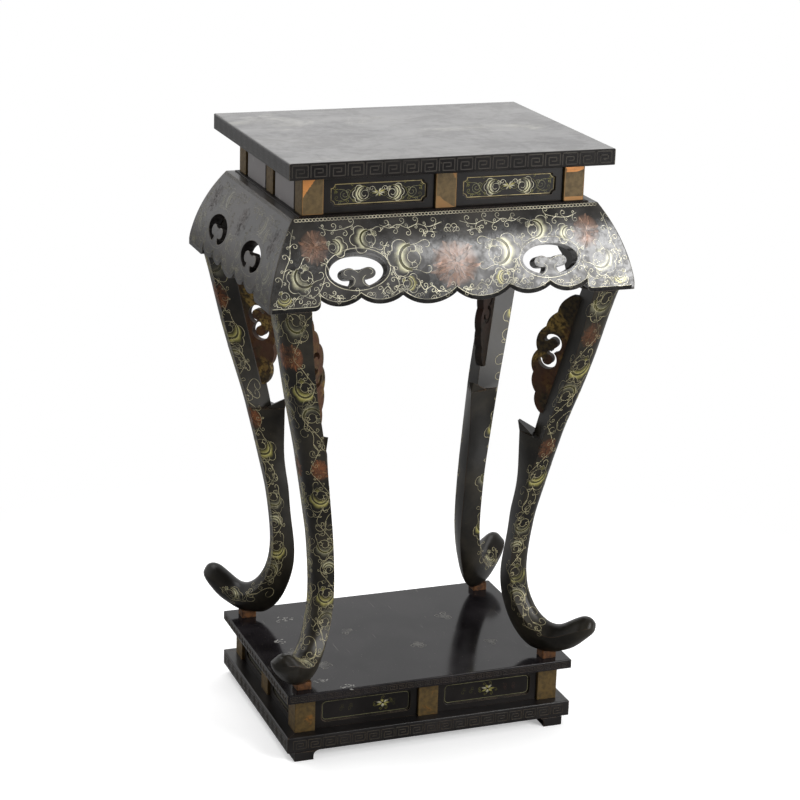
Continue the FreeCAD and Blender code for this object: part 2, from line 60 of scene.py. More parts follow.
# Lacquered vase stand. The CAD solids give every place and size; this script finishes them and lays the
# painted and raised ornament on them. Pattern sizes are in millimetres and become metres at the end.
MM = 0.001
SIDES = {"front": 0.0, "right": 90.0, "back": 180.0, "left": 270.0}     # turn from the front, in degrees
LONG_SIDES = ("front", "back")
CORNERS = {"front_left": (-1, -1), "front_right": (1, -1), "back_left": (-1, 1), "back_right": (1, 1)}
DIAGONAL = math.sqrt(0.5)

# apron profile, as it is in the CAD source
APRON_OVERHANG = 40.0
APRON_BULGE = 6.0
APRON_RIM = 8.0
CUSP_RISE = 13.0
SMALL_LOBE_RISE = 4.0
CORNER_ROUND = 8.0
FRONT_CUSPS = (178.0, 126.0, 71.5, 0.0)
SIDE_CUSPS = (115.5, 69.5, 30.5)
CLOUD_HALF = (37.5, 19.5)    # half width and half height of a cut-out
CLOUD_RISE = 45.0
CLOUD_OFFSET = {"front": 128.0, "back": 128.0, "left": 73.0, "right": 73.0}
CURL_DROP = 3.0

# guide along a leg's outer ridge, from which the painting is cast onto the leg: inset along its diagonal,
# height over the foot block, outward direction, width
LEG_SHIFT = (-3.0, 8.5)
LEG_LINE = (
    (22.0, 518.5, -1.0, 0.0, 60.0), (36.5, 472.0, -1.0, 0.0, 53.0), (53.5, 412.0, -1.0, 0.0, 49.0),
    (73.5, 354.0, -1.0, 0.0, 47.5), (93.0, 297.0, -1.0, 0.0, 46.0), (103.5, 258.0, -1.0, 0.0, 44.0),
    (115.0, 215.0, -1.0, 0.0, 42.0), (124.5, 170.0, -1.0, 0.0, 40.5), (129.7, 117.0, -1.0, 0.0, 39.6),
    (127.0, 87.0, -0.99, 0.13, 39.0), (117.0, 61.0, -0.93, 0.36, 38.5), (103.0, 44.5, -0.80, 0.60, 38.0),
    (86.0, 37.0, -0.56, 0.83, 38.0), (69.5, 42.0, -0.25, 0.97, 38.5), (55.0, 51.5, 0.0, 1.0, 39.5),
    (43.0, 58.0, 0.11, 0.99, 36.5),
)
SLAB_ROUND = 1.5             # rounding of the slabs' edges
LEG_CORE = 20.0              # how far inside its outer line a leg's middle is taken to be
LEG_CAST = (60.0, 58.0)      # rays onto a leg: their start from its middle, and their length
APRON_CAST = (6.0, 9.0)      # rays onto an apron: their start over its face, and their length
SHARP_ANGLE = 32.0           # a bend over this many degrees stays an edge

# raised lines and washes
LINE_STEP = 0.8
LINE_RAISE = 0.22
LINE_SINK = 0.05
WASH_RAISE = 0.07
RIM_EASE = 0.3
FILM = 0.06                  # lacquer that hides the joints of a slab


def rgb(red, green, blue):
    """A colour as a screen shows it, 0 to 255, made linear."""
    linear = []
    for value in (red, green, blue):
        share = value / 255.0
        linear.append(share / 12.92 if share <= 0.04045 else ((share + 0.055) / 1.055) ** 2.4)
    return (linear[0], linear[1], linear[2], 1.0)


def shares(parts):
    """Even steps from 0 to 1."""
    return [i / parts for i in range(parts + 1)]


def side_turn(side):
    """The turn that takes the front to a side."""
    return Matrix.Rotation(math.radians(SIDES[side]), 3, "Z")


def side_out(node, side):
    """How far the outer face of a node lies from the middle of the stand."""
    low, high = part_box(node)
    if side in LONG_SIDES:
        return max(abs(low.y), abs(high.y))
    return max(abs(low.x), abs(high.x))


def new_object(name, data):
    """An object in the scene, at the origin."""
    made = bpy.data.objects.new(name, data)
    bpy.context.scene.collection.objects.link(made)
    return made


# paint
PALE_GOLD = rgb(226, 220, 190)
GREEN_GOLD = rgb(118, 114, 58)
LEAF_GLOW = rgb(230, 226, 186)
YELLOW_GLOW = rgb(196, 188, 108)
OLIVE = rgb(70, 68, 36)
LEG_GOLD = rgb(196, 186, 146)
RUST = rgb(168, 124, 98)
RUST_LINE = rgb(66, 46, 38)
RUST_PALE = rgb(184, 146, 120)
LEG_REDS = (rgb(164, 98, 60), rgb(178, 122, 78))
BRIGHT_GILT = rgb(196, 128, 66)
DULL_GILT = rgb(148, 104, 56)
POST_RUB = rgb(128, 94, 54)
FADED = rgb(150, 147, 138)
GREY_GREEN = rgb(128, 126, 92)
BORDER_GOLD = rgb(158, 144, 100)
BLACK = rgb(18, 17, 16)


# shader building

def add(tree, kind, settings=None, **inputs):
    """A new node with its settings and inputs; an input is a value or another node's output."""
    made = tree.nodes.new(kind)
    for name, value in (settings or {}).items():
        setattr(made, name, value)
    for name, value in inputs.items():
        feed(tree, made.inputs[name.replace("_", " ")], value)
    return made


def feed(tree, socket, value):
    """Links an output to an input, or sets the input to a value."""
    if isinstance(value, bpy.types.NodeSocket):
        tree.links.new(value, socket)
    else:
        socket.default_value = value


def blended(tree, share, first, second):
    """A share of the second colour over the first."""
    made = add(tree, "ShaderNodeMix", {"data_type": "RGBA", "clamp_factor": True})
    feed(tree, made.inputs[0], share)
    feed(tree, made.inputs[6], first)
    feed(tree, made.inputs[7], second)
    return made.outputs[2]


def sums(tree, operation, first, second=0.0, clamp=False):
    """One step of arithmetic on values or outputs."""
    made = add(tree, "ShaderNodeMath", {"operation": operation, "use_clamp": clamp})
    feed(tree, made.inputs[0], first)
    feed(tree, made.inputs[1], second)
    return made.outputs[0]


def times(tree, first, second, clamp=False):
    return sums(tree, "MULTIPLY", first, second, clamp)


def plus(tree, first, second):
    return sums(tree, "ADD", first, second)


def scaled(tree, value, factor, offset):
    made = sums(tree, "MULTIPLY_ADD", value, factor)
    made.node.inputs[2].default_value = offset
    return made


def spread(tree, value, low, high, to_low=0.0, to_high=1.0):
    """A value stretched from one range to another, smoothly and without leaving it."""
    made = add(tree, "ShaderNodeMapRange", {"interpolation_type": "SMOOTHSTEP"})
    for name, number in zip(("From Min", "From Max", "To Min", "To Max"), (low, high, to_low, to_high)):
        made.inputs[name].default_value = number
    feed(tree, made.inputs["Value"], value)
    return made.outputs["Result"]


def object_place(tree, stretch=None, turn=(0.0, 0.0, 0.0)):
    """A point's own place on the stand, stretched and turned where a pattern needs it."""
    place = add(tree, "ShaderNodeTexCoord").outputs["Object"]
    if stretch is None:
        return place
    return add(tree, "ShaderNodeMapping", Vector=place, Scale=stretch, Rotation=turn).outputs["Vector"]


def noise(tree, scale, detail=4.0, rough=0.55, place=None, twist=0.0):
    made = add(tree, "ShaderNodeTexNoise", Scale=scale, Detail=detail, Roughness=rough, Distortion=twist)
    feed(tree, made.inputs["Vector"], place or object_place(tree))
    return made.outputs[0]


def arris(tree, radius):
    """How close a point is to a sharp edge, and the normal that rounds that edge."""
    bevel = add(tree, "ShaderNodeBevel", {"samples": 4})
    bevel.inputs["Radius"].default_value = radius * MM
    flat = add(tree, "ShaderNodeNewGeometry").outputs["Normal"]
    dot = add(tree, "ShaderNodeVectorMath", {"operation": "DOT_PRODUCT"})
    feed(tree, dot.inputs[0], bevel.outputs["Normal"])
    feed(tree, dot.inputs[1], flat)
    return spread(tree, dot.outputs["Value"], 0.995, 0.86), bevel.outputs["Normal"]


def upward(tree):
    """1 on surfaces that face up, 0 on the others."""
    normal = add(tree, "ShaderNodeNewGeometry").outputs["Normal"]
    parts = add(tree, "ShaderNodeSeparateXYZ", Vector=normal)
    return spread(tree, parts.outputs["Z"], 0.75, 0.97)


def scratches(tree, stretch, turn, amount):
    """Thin straight rubs in one direction."""
    lines = noise(tree, 1.0, 2.0, 0.5, object_place(tree, stretch, turn))
    gaps = noise(tree, 11.0, 2.0)
    thin = spread(tree, lines, 0.66, 0.72)
    return times(tree, times(tree, thin, spread(tree, gaps, 0.5, 0.62)), amount)


def new_material(name):
    material = bpy.data.materials.new(name)
    material.use_nodes = True
    tree = material.node_tree
    return material, tree, tree.nodes["Principled BSDF"]


WEAR_RADIUS = 1.3            # how far from an arris the lacquer is rubbed


def old_lacquer(tree, ground, haze, haze_amount, worn, wear_amount, rough):
    """Colour, roughness, height and edge normal of old lacquer: cloudy bloom, fine specks, rubbed arrises."""
    cloud = noise(tree, 13.0, 5.0, 0.6, twist=0.4)
    patch = noise(tree, 34.0, 4.0, 0.6)
    speck = noise(tree, 420.0, 2.0, 0.5)
    bloom = times(tree, spread(tree, cloud, 0.34, 0.68), haze_amount)
    colour = blended(tree, bloom, ground, haze)
    colour = blended(tree, spread(tree, patch, 0.55, 0.75, 0.0, 0.35 * haze_amount), colour, ground)
    edge, edge_normal = arris(tree, WEAR_RADIUS)
    rubs_and_painted_sheen = times(tree, edge, spread(tree, patch, 0.40, 0.58, 0.15, 1.0))
    colour = blended(tree, times(tree, rubs_and_painted_sheen, wear_amount), colour, worn)
    colour = blended(tree, spread(tree, speck, 0.70, 0.78, 0.0, 0.25), colour, worn)
    dull = plus(tree, scaled(tree, cloud, 0.14, rough - 0.07), times(tree, rubs_and_painted_sheen, 0.25))
    height = plus(tree, times(tree, patch, 0.5), times(tree, speck, 0.12))
    return colour, dull, height, edge_normal


def stain_sheen(tree, shader, least, most, scale=38.0):
    """Gloss taken off in blotches and specks, as by old stains."""
    blotch = noise(tree, scale, 6.0, 0.68, twist=0.7)
    speck = noise(tree, 5.5 * scale, 3.0, 0.6)
    level = spread(tree, plus(tree, times(tree, blotch, 0.7), times(tree, speck, 0.3)),
                   0.40, 0.58, most, least)
    feed(tree, shader.inputs["Specular IOR Level"], level)


def finish_lacquer(tree, shader, colour, dull, height, edge_normal, depth=0.12, shine=0.5):
    """Feeds the shader with its colour, roughness, shine and a bump of a depth in millimetres."""
    bump = add(tree, "ShaderNodeBump", Strength=0.35, Height=height, Normal=edge_normal)
    bump.inputs["Distance"].default_value = depth * MM
    tree.links.new(colour, shader.inputs["Base Color"])
    tree.links.new(dull, shader.inputs["Roughness"])
    tree.links.new(bump.outputs["Normal"], shader.inputs["Normal"])
    shader.inputs["Specular IOR Level"].default_value = shine


def lacquer_material(name, coat, worn, wear_amount):
    """Lacquer with one of the coats below, its arrises rubbed to the worn colour."""
    ground, haze, haze_amount, rough, shine, stained = coat
    material, tree, shader = new_material(name)
    finish_lacquer(tree, shader, *old_lacquer(tree, ground, haze, haze_amount, worn, wear_amount, rough),
                   shine=shine)
    if stained:
        stain_sheen(tree, shader, shine * (1 - stained), shine)
    return material


def slab_lacquer(name, shine, coat):
    """Lacquer of the top: black on the edges, cloudy and clear-coated where it faces up."""
    material, tree, shader = new_material(name)
    colour, dull, height, edge_normal = old_lacquer(tree, rgb(20, 18, 18), rgb(42, 40, 39), 0.6,
                                                    rgb(150, 142, 130), 0.75, 0.36)
    facing = upward(tree)
    streaks = noise(tree, 1.0, 5.0, 0.62, object_place(tree, (5.0, 16.0, 5.0), (0.0, 0.0, 0.20)), 0.9)
    clouds = noise(tree, 6.5, 6.0, 0.66, twist=1.2)
    scuffs = noise(tree, 1.0, 6.0, 0.72, object_place(tree, (16.0, 46.0, 16.0), (0.0, 0.0, -0.12)), 1.4)
    dulled = blended(tree, spread(tree, streaks, 0.30, 0.72), rgb(62, 60, 60), rgb(92, 90, 88))
    dulled = blended(tree, spread(tree, clouds, 0.58, 0.74, 0.0, 0.6), dulled, rgb(36, 35, 35))
    dulled = blended(tree, spread(tree, clouds, 0.42, 0.28, 0.0, 0.8), dulled, rgb(128, 126, 118))
    dulled = blended(tree, spread(tree, scuffs, 0.64, 0.72, 0.0, 0.6), dulled, rgb(30, 29, 28))
    marks = scratches(tree, (9.0, 260.0, 9.0), (0.0, 0.0, 0.5), 0.4)
    dulled = blended(tree, marks, dulled, rgb(150, 147, 140))
    edge, _ = arris(tree, 1.6)
    dulled = blended(tree, times(tree, edge, spread(tree, scuffs, 0.44, 0.56)), dulled, rgb(182, 178, 170))
    colour = blended(tree, facing, colour, dulled)
    dull = plus(tree, dull, times(tree, facing, 0.06))
    finish_lacquer(tree, shader, colour, dull, height, edge_normal, shine=shine)
    if coat:
        stain_sheen(tree, shader, 0.25 * shine, shine, 15.0)
    shader.inputs["Coat Weight"].default_value = coat
    shader.inputs["Coat Roughness"].default_value = 0.24
    return material


def side_field_lacquer():
    """Lacquer of the waist panels at the ends: raised fields painted pale grey as a reflection of the bright
    side, and dark grooves beside them.
    """
    material, tree, shader = new_material("side_field_lacquer")
    colour, dull, height, edge_normal = old_lacquer(tree, *COATS["panel"][:3], rgb(120, 110, 96), 0.5, 0.36)
    face = -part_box("waist_panels_left")[0].x
    place = add(tree, "ShaderNodeSeparateXYZ", Vector=object_place(tree))
    raised = spread(tree, sums(tree, "ABSOLUTE", place.outputs["X"]), face - 1.6 * MM, face - 1.0 * MM)
    # painted reflection: the raised fields take a mottled pale grey that stands for the bright side they
    # reflect
    sheen_mottle = spread(tree, noise(tree, 30.0, 5.0, 0.65, twist=0.6), 0.60, 0.72, 0.0, 0.6)
    rubs_and_painted_sheen = blended(tree, sheen_mottle, rgb(126, 122, 122), rgb(168, 164, 160))
    colour = blended(tree, raised, colour, rubs_and_painted_sheen)
    finish_lacquer(tree, shader, colour, dull, height, edge_normal, 0.12, 0.4)
    return material


def shelf_lacquer():
    """Glossy lacquer of the shelf, with fine scratches and pale chips along the edges."""
    material, tree, shader = new_material("shelf_lacquer")
    colour, dull, height, edge_normal = old_lacquer(tree, *COATS["shelf"][:3], rgb(152, 142, 126), 0.9, 0.2)
    marks = scratches(tree, (200.0, 12.0, 12.0), (0.0, 0.0, 0.9), 0.35)
    colour = blended(tree, marks, colour, rgb(120, 117, 112))
    facing = upward(tree)
    gloss = sums(tree, "SUBTRACT", dull, times(tree, facing, 0.07))
    finish_lacquer(tree, shader, colour, gloss, height, edge_normal, 0.05, 0.18)
    return material


def gilt(name, ochre, bright, dark, bright_from, red=None):
    """Gilded wood gone dull: ochre, brighter gold left in patches, dark rubs, and red clay if it is given."""
    material, tree, shader = new_material(name)
    broad = noise(tree, 22.0, 5.0, 0.65, twist=0.8)
    fine = noise(tree, 180.0, 4.0, 0.6)
    grain = noise(tree, 1.0, 4.0, 0.6, object_place(tree, (120.0, 120.0, 9.0)))
    colour = blended(tree, spread(tree, fine, 0.35, 0.7), ochre, dark)
    colour = blended(tree, spread(tree, grain, 0.5, 0.75, 0.0, 0.4), colour, dark)
    left = spread(tree, broad, bright_from, bright_from + 0.12)
    colour = blended(tree, left, colour, blended(tree, spread(tree, fine, 0.45, 0.6), bright, ochre))
    if red:
        clay = noise(tree, 1.0, 4.0, 0.6, object_place(tree, (17.0, 17.0, 17.0), (0.4, 0.2, 0.1)), 0.5)
        colour = blended(tree, spread(tree, clay, 0.46, 0.60, 0.0, 0.85), colour, red)
    edge, edge_normal = arris(tree, 1.2)
    rubs_and_painted_sheen = times(tree, edge, spread(tree, broad, 0.35, 0.55, 0.2, 0.8))
    colour = blended(tree, rubs_and_painted_sheen, colour, dark)
    finish_lacquer(tree, shader, colour, scaled(tree, fine, 0.3, 0.36), fine, edge_normal, 0.1, 0.22)
    feed(tree, shader.inputs["Metallic"], times(tree, left, 0.45))
    return material


def paint_material(name, coat, rub_from):
    """Paint laid on lacquer: the mesh's own paint colour, rubbed away in places to the coat below."""
    ground, haze, haze_amount, rough, shine, stained = coat
    material, tree, shader = new_material(name)
    colour, dull, height, edge_normal = old_lacquer(tree, ground, haze, haze_amount, haze, 0.0, rough)
    paint = add(tree, "ShaderNodeAttribute", {"attribute_name": "paint"})
    rub = spread(tree, noise(tree, 46.0, 5.0, 0.7, twist=0.3), rub_from, rub_from + 0.22, 0.25, 1.0)
    dust = spread(tree, noise(tree, 900.0, 2.0, 0.6), 0.30, 0.56, 0.7, 1.0)
    share = times(tree, paint.outputs["Alpha"], times(tree, rub, dust), True)
    colour = blended(tree, share, colour, paint.outputs["Color"])
    finish_lacquer(tree, shader, colour, dull, height, edge_normal, shine=shine)
    if stained:
        stain_sheen(tree, shader, shine * (1 - stained), shine)
    feed(tree, shader.inputs["Metallic"], times(tree, share, 0.2))
    return material


def bare_wood():
    """Plain wood of the hidden brace and dowels."""
    material, tree, shader = new_material("bare_wood")
    rings = noise(tree, 1.0, 6.0, 0.65, object_place(tree, (60.0, 8.0, 60.0)), 1.2)
    colour = blended(tree, spread(tree, rings, 0.3, 0.7), rgb(92, 66, 44), rgb(132, 98, 66))
    _, edge_normal = arris(tree, 1.0)
    finish_lacquer(tree, shader, colour, scaled(tree, rings, 0.2, 0.55), rings, edge_normal, 0.15)
    return material


WORN_PALE = rgb(150, 140, 122)
WORN_BROWN = rgb(104, 80, 56)

# ground, haze, amount of haze, roughness, shine, and the share of the shine that stains take off
COATS = {
    "apron": (rgb(30, 29, 28), rgb(64, 61, 57), 0.9, 0.20, 0.9, 0.6),
    "side_apron": (rgb(31, 29, 28), rgb(60, 56, 54), 0.9, 0.33, 0.3, 0.0),
    "leg": (rgb(19, 17, 14), rgb(48, 44, 36), 0.8, 0.30, 0.22, 0.0),
    "panel": (rgb(20, 18, 17), rgb(36, 33, 32), 0.7, 0.30, 0.14, 0.0),
    "black": (rgb(17, 15, 15), rgb(40, 37, 36), 0.7, 0.30, 0.3, 0.0),
    "moulding": (rgb(18, 16, 15), rgb(36, 32, 30), 0.7, 0.38, 0.05, 0.0),
    "shelf": (rgb(17, 15, 17), rgb(42, 39, 41), 0.6, 0.13, 0.18, 0.0),
    "post": (rgb(112, 92, 56), rgb(88, 72, 44), 0.6, 0.40, 0.22, 0.0),
    "fret": (rgb(62, 59, 56), rgb(42, 40, 38), 0.9, 0.42, 0.08, 0.0),
    "low_fret": (rgb(54, 50, 43), rgb(34, 31, 29), 0.9, 0.42, 0.24, 0.0),
    "chain": (rgb(226, 218, 190), rgb(112, 106, 88), 0.9, 0.38, 0.5, 0.0),
    "end_chain": (rgb(96, 92, 84), rgb(52, 49, 46), 0.9, 0.38, 0.5, 0.0),
}
# name of the material, and colour and amount of the wear on its arrises
WEAR = {
    "apron": ("apron_lacquer", WORN_PALE, 0.6),
    "side_apron": ("side_apron_lacquer", WORN_PALE, 0.6),
    "leg": ("leg_lacquer", WORN_BROWN, 0.55),
    "panel": ("panel_lacquer", rgb(120, 104, 82), 0.5),
    "black": ("black_lacquer", WORN_BROWN, 0.7),
    "moulding": ("moulding_lacquer", WORN_BROWN, 0.7),
    "fret": ("fret_paint", WORN_PALE, 0.2),
    "low_fret": ("low_fret_paint", WORN_BROWN, 0.3),
    "chain": ("chain_gold", WORN_PALE, 0.2),
    "end_chain": ("dull_chain_gold", WORN_PALE, 0.2),
}
# level of a noise from which paint on a coat is left
PAINT_RUB = {"apron": 0.34, "side_apron": 0.36, "leg": 0.34, "panel": 0.32, "shelf": 0.30, "post": 0.28}
# name of the material, ochre, bright gold, dark rubs, level from which the bright gold is left, and red clay
GILDINGS = {
    "post": ("post_gilding", rgb(98, 80, 48), rgb(142, 100, 50), rgb(78, 63, 38), 0.70),
    "base_post": ("base_post_gilding", rgb(88, 70, 38), rgb(134, 88, 40), rgb(66, 53, 30), 0.62),
    "foot": ("foot_block_gilding", rgb(100, 66, 38), rgb(140, 96, 50), rgb(52, 35, 24), 0.58),
    "spandrel": ("spandrel_gilding", rgb(70, 57, 32), rgb(140, 116, 64), rgb(32, 26, 19), 0.5,
                 rgb(76, 47, 32)),
    "dark_spandrel": ("dark_gilding", rgb(36, 28, 20), rgb(64, 50, 34), rgb(20, 17, 15), 0.56,
                      rgb(44, 29, 23)),
}

MATERIALS = {
    "slab": slab_lacquer("slab_lacquer", 0.06, 0.0),
    "slab_end": slab_lacquer("slab_end_lacquer", 0.62, 0.0),
    "slab_face": slab_lacquer("slab_face_lacquer", 0.8, 0.6),
    "shelf": shelf_lacquer(),
    "side_field": side_field_lacquer(),
    "wood": bare_wood(),
}
for key, (material_name, worn_colour, wear) in WEAR.items():
    MATERIALS[key] = lacquer_material(material_name, COATS[key], worn_colour, wear)
for key, level in PAINT_RUB.items():
    MATERIALS[key + "_paint"] = paint_material(key + "_paint", COATS[key], level)
for key, gilding in GILDINGS.items():
    MATERIALS[key] = gilt(*gilding)


# pieces

def set_down(name, mesh, material):
    """A finished mesh as a piece of the stand."""
    mesh.materials.clear()
    mesh.materials.append(MATERIALS[material])
    piece = new_object(name, mesh)
    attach(piece, "root")
    return piece


def merged_copy(node):
    """The CAD node's triangles as one closed mesh."""
    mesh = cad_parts[node].data.copy()
    shape = bmesh.new()
    shape.from_mesh(mesh)
    bmesh.ops.remove_doubles(shape, verts=shape.verts, dist=1e-6)
    bmesh.ops.dissolve_degenerate(shape, edges=shape.edges, dist=1e-7)
    for face in shape.faces:
        face.smooth = True
    shape.to_mesh(mesh)
    shape.free()
    return mesh


def smooth_corners(mesh):
    """A normal for each face corner: the larger faces round it that bend less than the sharp angle lead."""
    limit = math.cos(math.radians(SHARP_ANGLE))
    round_vertex = {}
    for face in mesh.polygons:
        for vertex in face.vertices:
            round_vertex.setdefault(vertex, []).append((face.normal.copy(), face.area))
    normals = []
    for face in mesh.polygons:
        for vertex in face.vertices:
            mean = Vector((0.0, 0.0, 0.0))
            for normal, area in round_vertex[vertex]:
                if normal.dot(face.normal) > limit:
                    mean += normal * area
            normals.append(mean.normalized())
    return normals


def finished(node, material, face=None, filmed=False):
    """The CAD node smoothed between its sharp edges and given its finish; a given face leads the normals."""
    mesh = face.mesh.copy() if face else merged_copy(node)
    mesh.name = node + "_finished"
    if filmed:
        top = max(vertex.co.z for vertex in mesh.vertices)
        for vertex in mesh.vertices:
            vertex.co.z = min(vertex.co.z, top - FILM * MM)
    normals = smooth_corners(mesh)
    if face:
        normals = face.led(mesh, normals)
    mesh.normals_split_custom_set(normals)
    piece = set_down(node + "_finished", mesh, material)
    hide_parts(node)


def lacquer_film(name, slab, material):
    """One skin of lacquer over the rails and the panel of a slab."""
    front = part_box(slab + "_rail_front")
    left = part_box(slab + "_rail_left")
    x = front[1].x - SLAB_ROUND * MM
    y = left[1].y - SLAB_ROUND * MM
    z = front[1].z - 0.1 * FILM * MM
    parts = 12
    steps = [2 * i / parts - 1 for i in range(parts + 1)]
    points = [(x * across, y * along, z) for along in steps for across in steps]
    faces = []
    for j in range(parts):
        for i in range(parts):
            corner = j * (parts + 1) + i
            faces.append((corner, corner + 1, corner + parts + 2, corner + parts + 1))
    mesh = bpy.data.meshes.new(name)
    mesh.from_pydata(points, [], faces)
    set_down(name, mesh, material)


def finish_all():
    """Every CAD node with its finish."""
    for side in SIDES:
        is_long = side in LONG_SIDES
        finished("top_rail_" + side, "slab" if is_long else "slab_end", filmed=True)
        finished("shelf_rail_" + side, "shelf", filmed=True)
        finished("bottom_rail_" + side, "black")
        finished("waist_moulding_" + side, "moulding")
        finished("apron_" + side, "apron" if is_long else "side_apron", APRONS[side])
        finished("waist_panels_" + side, "panel" if is_long else "side_field")
        finished("base_panels_" + side, "panel")
        finished("waist_mid_post_" + side, "post")
    for corner in CORNERS:
        finished("leg_" + corner, "leg")
        finished("spandrel_" + corner, "dark_spandrel" if corner == "back_right" else "spandrel")
        finished("foot_block_" + corner, "foot")
        finished("waist_corner_post_" + corner, "post")
        finished("base_corner_post_" + corner, "base_post")
    finished("top_panel", "slab", filmed=True)
    finished("shelf_panel", "shelf", filmed=True)
    lacquer_film("top_film", "top", "slab_face")
    lacquer_film("shelf_film", "shelf", "shelf")
    finished("bracket_feet", "black")
    finished("base_mid_posts", "base_post")
    finished("top_brace", "wood")
    finished("leg_dowels", "wood")


# surfaces that take paint: each gives the point and normal at a place on its pattern, or None off its edge

def ray_shape(mesh):
    """The mesh as rays meet it."""
    points = [vertex.co.copy() for vertex in mesh.vertices]
    faces = [tuple(face.vertices) for face in mesh.polygons]
    return BVHTree.FromPolygons(points, faces)


class ApronFace:
    """Outer face of an apron: along it from its middle, and up it from the top of its rim."""

    def __init__(self, side):
        low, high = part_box("apron_" + side)
        size = (high - low) / MM
        self.turn = side_turn(side)
        self.half = max(size.x, size.y) / 2
        self.out = side_out("apron_" + side, side) / MM
        self.bottom = low.z / MM
        self.rise = size.z - APRON_RIM
        chord = math.hypot(APRON_OVERHANG, self.rise)
        self.radius = chord ** 2 / 8 / APRON_BULGE + APRON_BULGE / 2
        self.half_angle = math.asin(chord / 2 / self.radius)
        self.length = 2 * self.half_angle * self.radius
        across = Vector((-self.rise, APRON_OVERHANG)) / chord
        self.lean = math.atan2(across.y, -across.x)
        middle = Vector((APRON_OVERHANG, self.rise)) / 2
        self.centre = middle - across * (self.radius - APRON_BULGE)
        self.mesh = merged_copy("apron_" + side)
        self.ease_rim()
        self.shape = ray_shape(self.mesh)

    def ease_rim(self):
        """Draws the rim in by a hair, so that the raised lines on it stay inside the apron's size."""
        back = self.turn.transposed()
        limits = ((self.half - RIM_EASE) * MM, (self.out - RIM_EASE) * MM)
        for vertex in self.mesh.vertices:
            local = back @ vertex.co
            local.x = min(max(local.x, -limits[0]), limits[0])
            local.y = min(max(local.y, -limits[1]), limits[1])
            vertex.co = self.turn @ local

    def up_at(self, height):
        """Distance up the face at a height over the lower edge."""
        rise = height - APRON_RIM
        return rise if rise < 0 else rise * self.length / self.rise

    def section(self, rise):
        """Inset from the rim, and outward normal, at a rise over the rim's top."""
        up = (max(rise, 0.0) - self.centre.y) / self.radius
        normal = Vector((-math.sqrt(1 - up ** 2), up))
        inset = self.centre.x + self.radius * normal.x
        if rise < 0:
            upright = min(-rise / APRON_RIM, 1.0)
            return 0.0, normal.lerp(Vector((-1.0, 0.0)), upright).normalized()
        return inset, normal

    def led(self, mesh, normals):
        """The corner normals of a mesh, taken from the true curve wherever a corner lies on it."""
        back = self.turn.transposed()
        made = []
        for face in mesh.polygons:
            facing = back @ face.normal
            for vertex in face.vertices:
                local = back @ mesh.vertices[vertex].co / MM
                inset, normal = self.section(local.z - self.bottom - APRON_RIM)
                true = Vector((0.0, normal.x, normal.y))
                on_curve = abs(local.y + self.out - inset) < 2 * RIM_EASE and facing.dot(true) > 0.94
                made.append(self.turn @ true if on_curve else normals[len(made)])
        return made

    def __call__(self, u, v):
        rise = v
        if v > 0:
            angle = self.lean + v / self.radius - self.half_angle
            rise = self.centre.y + self.radius * math.sin(angle)
        inset, normal = self.section(rise)
        point = Vector((u, max(inset, RIM_EASE) - self.out, self.bottom + APRON_RIM + rise)) * MM
        facing = self.turn @ Vector((0.0, normal.x, normal.y))
        start = self.turn @ point + facing * (APRON_CAST[0] * MM)
        if self.shape.ray_cast(start, -facing, APRON_CAST[1] * MM)[0] is None:
            return None
        return self.turn @ point, facing


class LegFace:
    """Outer side of a leg: round it from its outer corner, and down it from its head."""

    def __init__(self, corner):
        self.signs = CORNERS[corner]
        self.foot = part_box("foot_block_" + corner)[1].z / MM
        self.shape = ray_shape(merged_copy("leg_" + corner))
        self.marks = [0.0]
        for first, second in zip(LEG_LINE, LEG_LINE[1:]):
            self.marks.append(self.marks[-1] + math.hypot(second[0] - first[0], second[1] - first[1]))
        self.length = self.marks[-1]

    def station(self, v):
        """The guide's values at a distance down it."""
        v = min(max(v, 0.0), self.length - 1e-6)
        last = max(i for i, mark in enumerate(self.marks) if mark <= v)
        share = (v - self.marks[last]) / (self.marks[last + 1] - self.marks[last])
        return [a + (b - a) * share for a, b in zip(LEG_LINE[last], LEG_LINE[last + 1])]

    def placed(self, inset, height, offset):
        """A point by its inset along the diagonal, its height over the foot block and its offset across."""
        x = cad_high.x / MM + LEG_SHIFT[0] - (inset + offset) * DIAGONAL
        y = cad_high.y / MM + LEG_SHIFT[1] - (inset - offset) * DIAGONAL
        return Vector((x * self.signs[0], y * self.signs[1], self.foot + height)) * MM

    def __call__(self, u, v):
        if v < 0 or v > self.length:
            return None
        inset, height, out_inset, out_height, width = self.station(v)
        angle = u / (width / 2)
        core = (inset - out_inset * LEG_CORE, height - out_height * LEG_CORE)
        middle = self.placed(core[0], core[1], 0.0)
        reach = LEG_CAST[0]
        away = self.placed(core[0] + out_inset * math.cos(angle) * reach,
                           core[1] + out_height * math.cos(angle) * reach, math.sin(angle) * reach)
        facing = (away - middle).normalized()
        point, normal = self.shape.ray_cast(away, -facing, LEG_CAST[1] * MM)[:2]
        return None if point is None else (point, normal)


def flat_face(origin, right, up):
    """A flat face: its origin in metres, and the two directions of its pattern."""
    origin, right, up = (Vector(value) for value in (origin, right, up))
    normal = right.cross(up)
    return lambda u, v: (origin + (right * u + up * v) * MM, normal)


def moved(face, across, up):
    """A face seen from another origin on it."""
    return lambda u, v: face(u + across, v + up)


def tilted(face, lean):
    """A face whose normal leans down, like a rounded lower edge."""

    def spot_at(u, v):
        spot = face(u, v)
        if spot is None:
            return None
        return spot[0], (spot[1] - Vector((0.0, 0.0, lean))).normalized()

    return spot_at


def evenly(path, step):
    """The path with points about a step apart."""
    points = [path[0]]
    for first, second in zip(path, path[1:]):
        gap = math.hypot(second[0] - first[0], second[1] - first[1])
        parts = max(1, round(gap / step))
        for i in range(1, parts + 1):
            share = i / parts
            points.append(tuple(a + (b - a) * share for a, b in zip(first, second)))
    return points


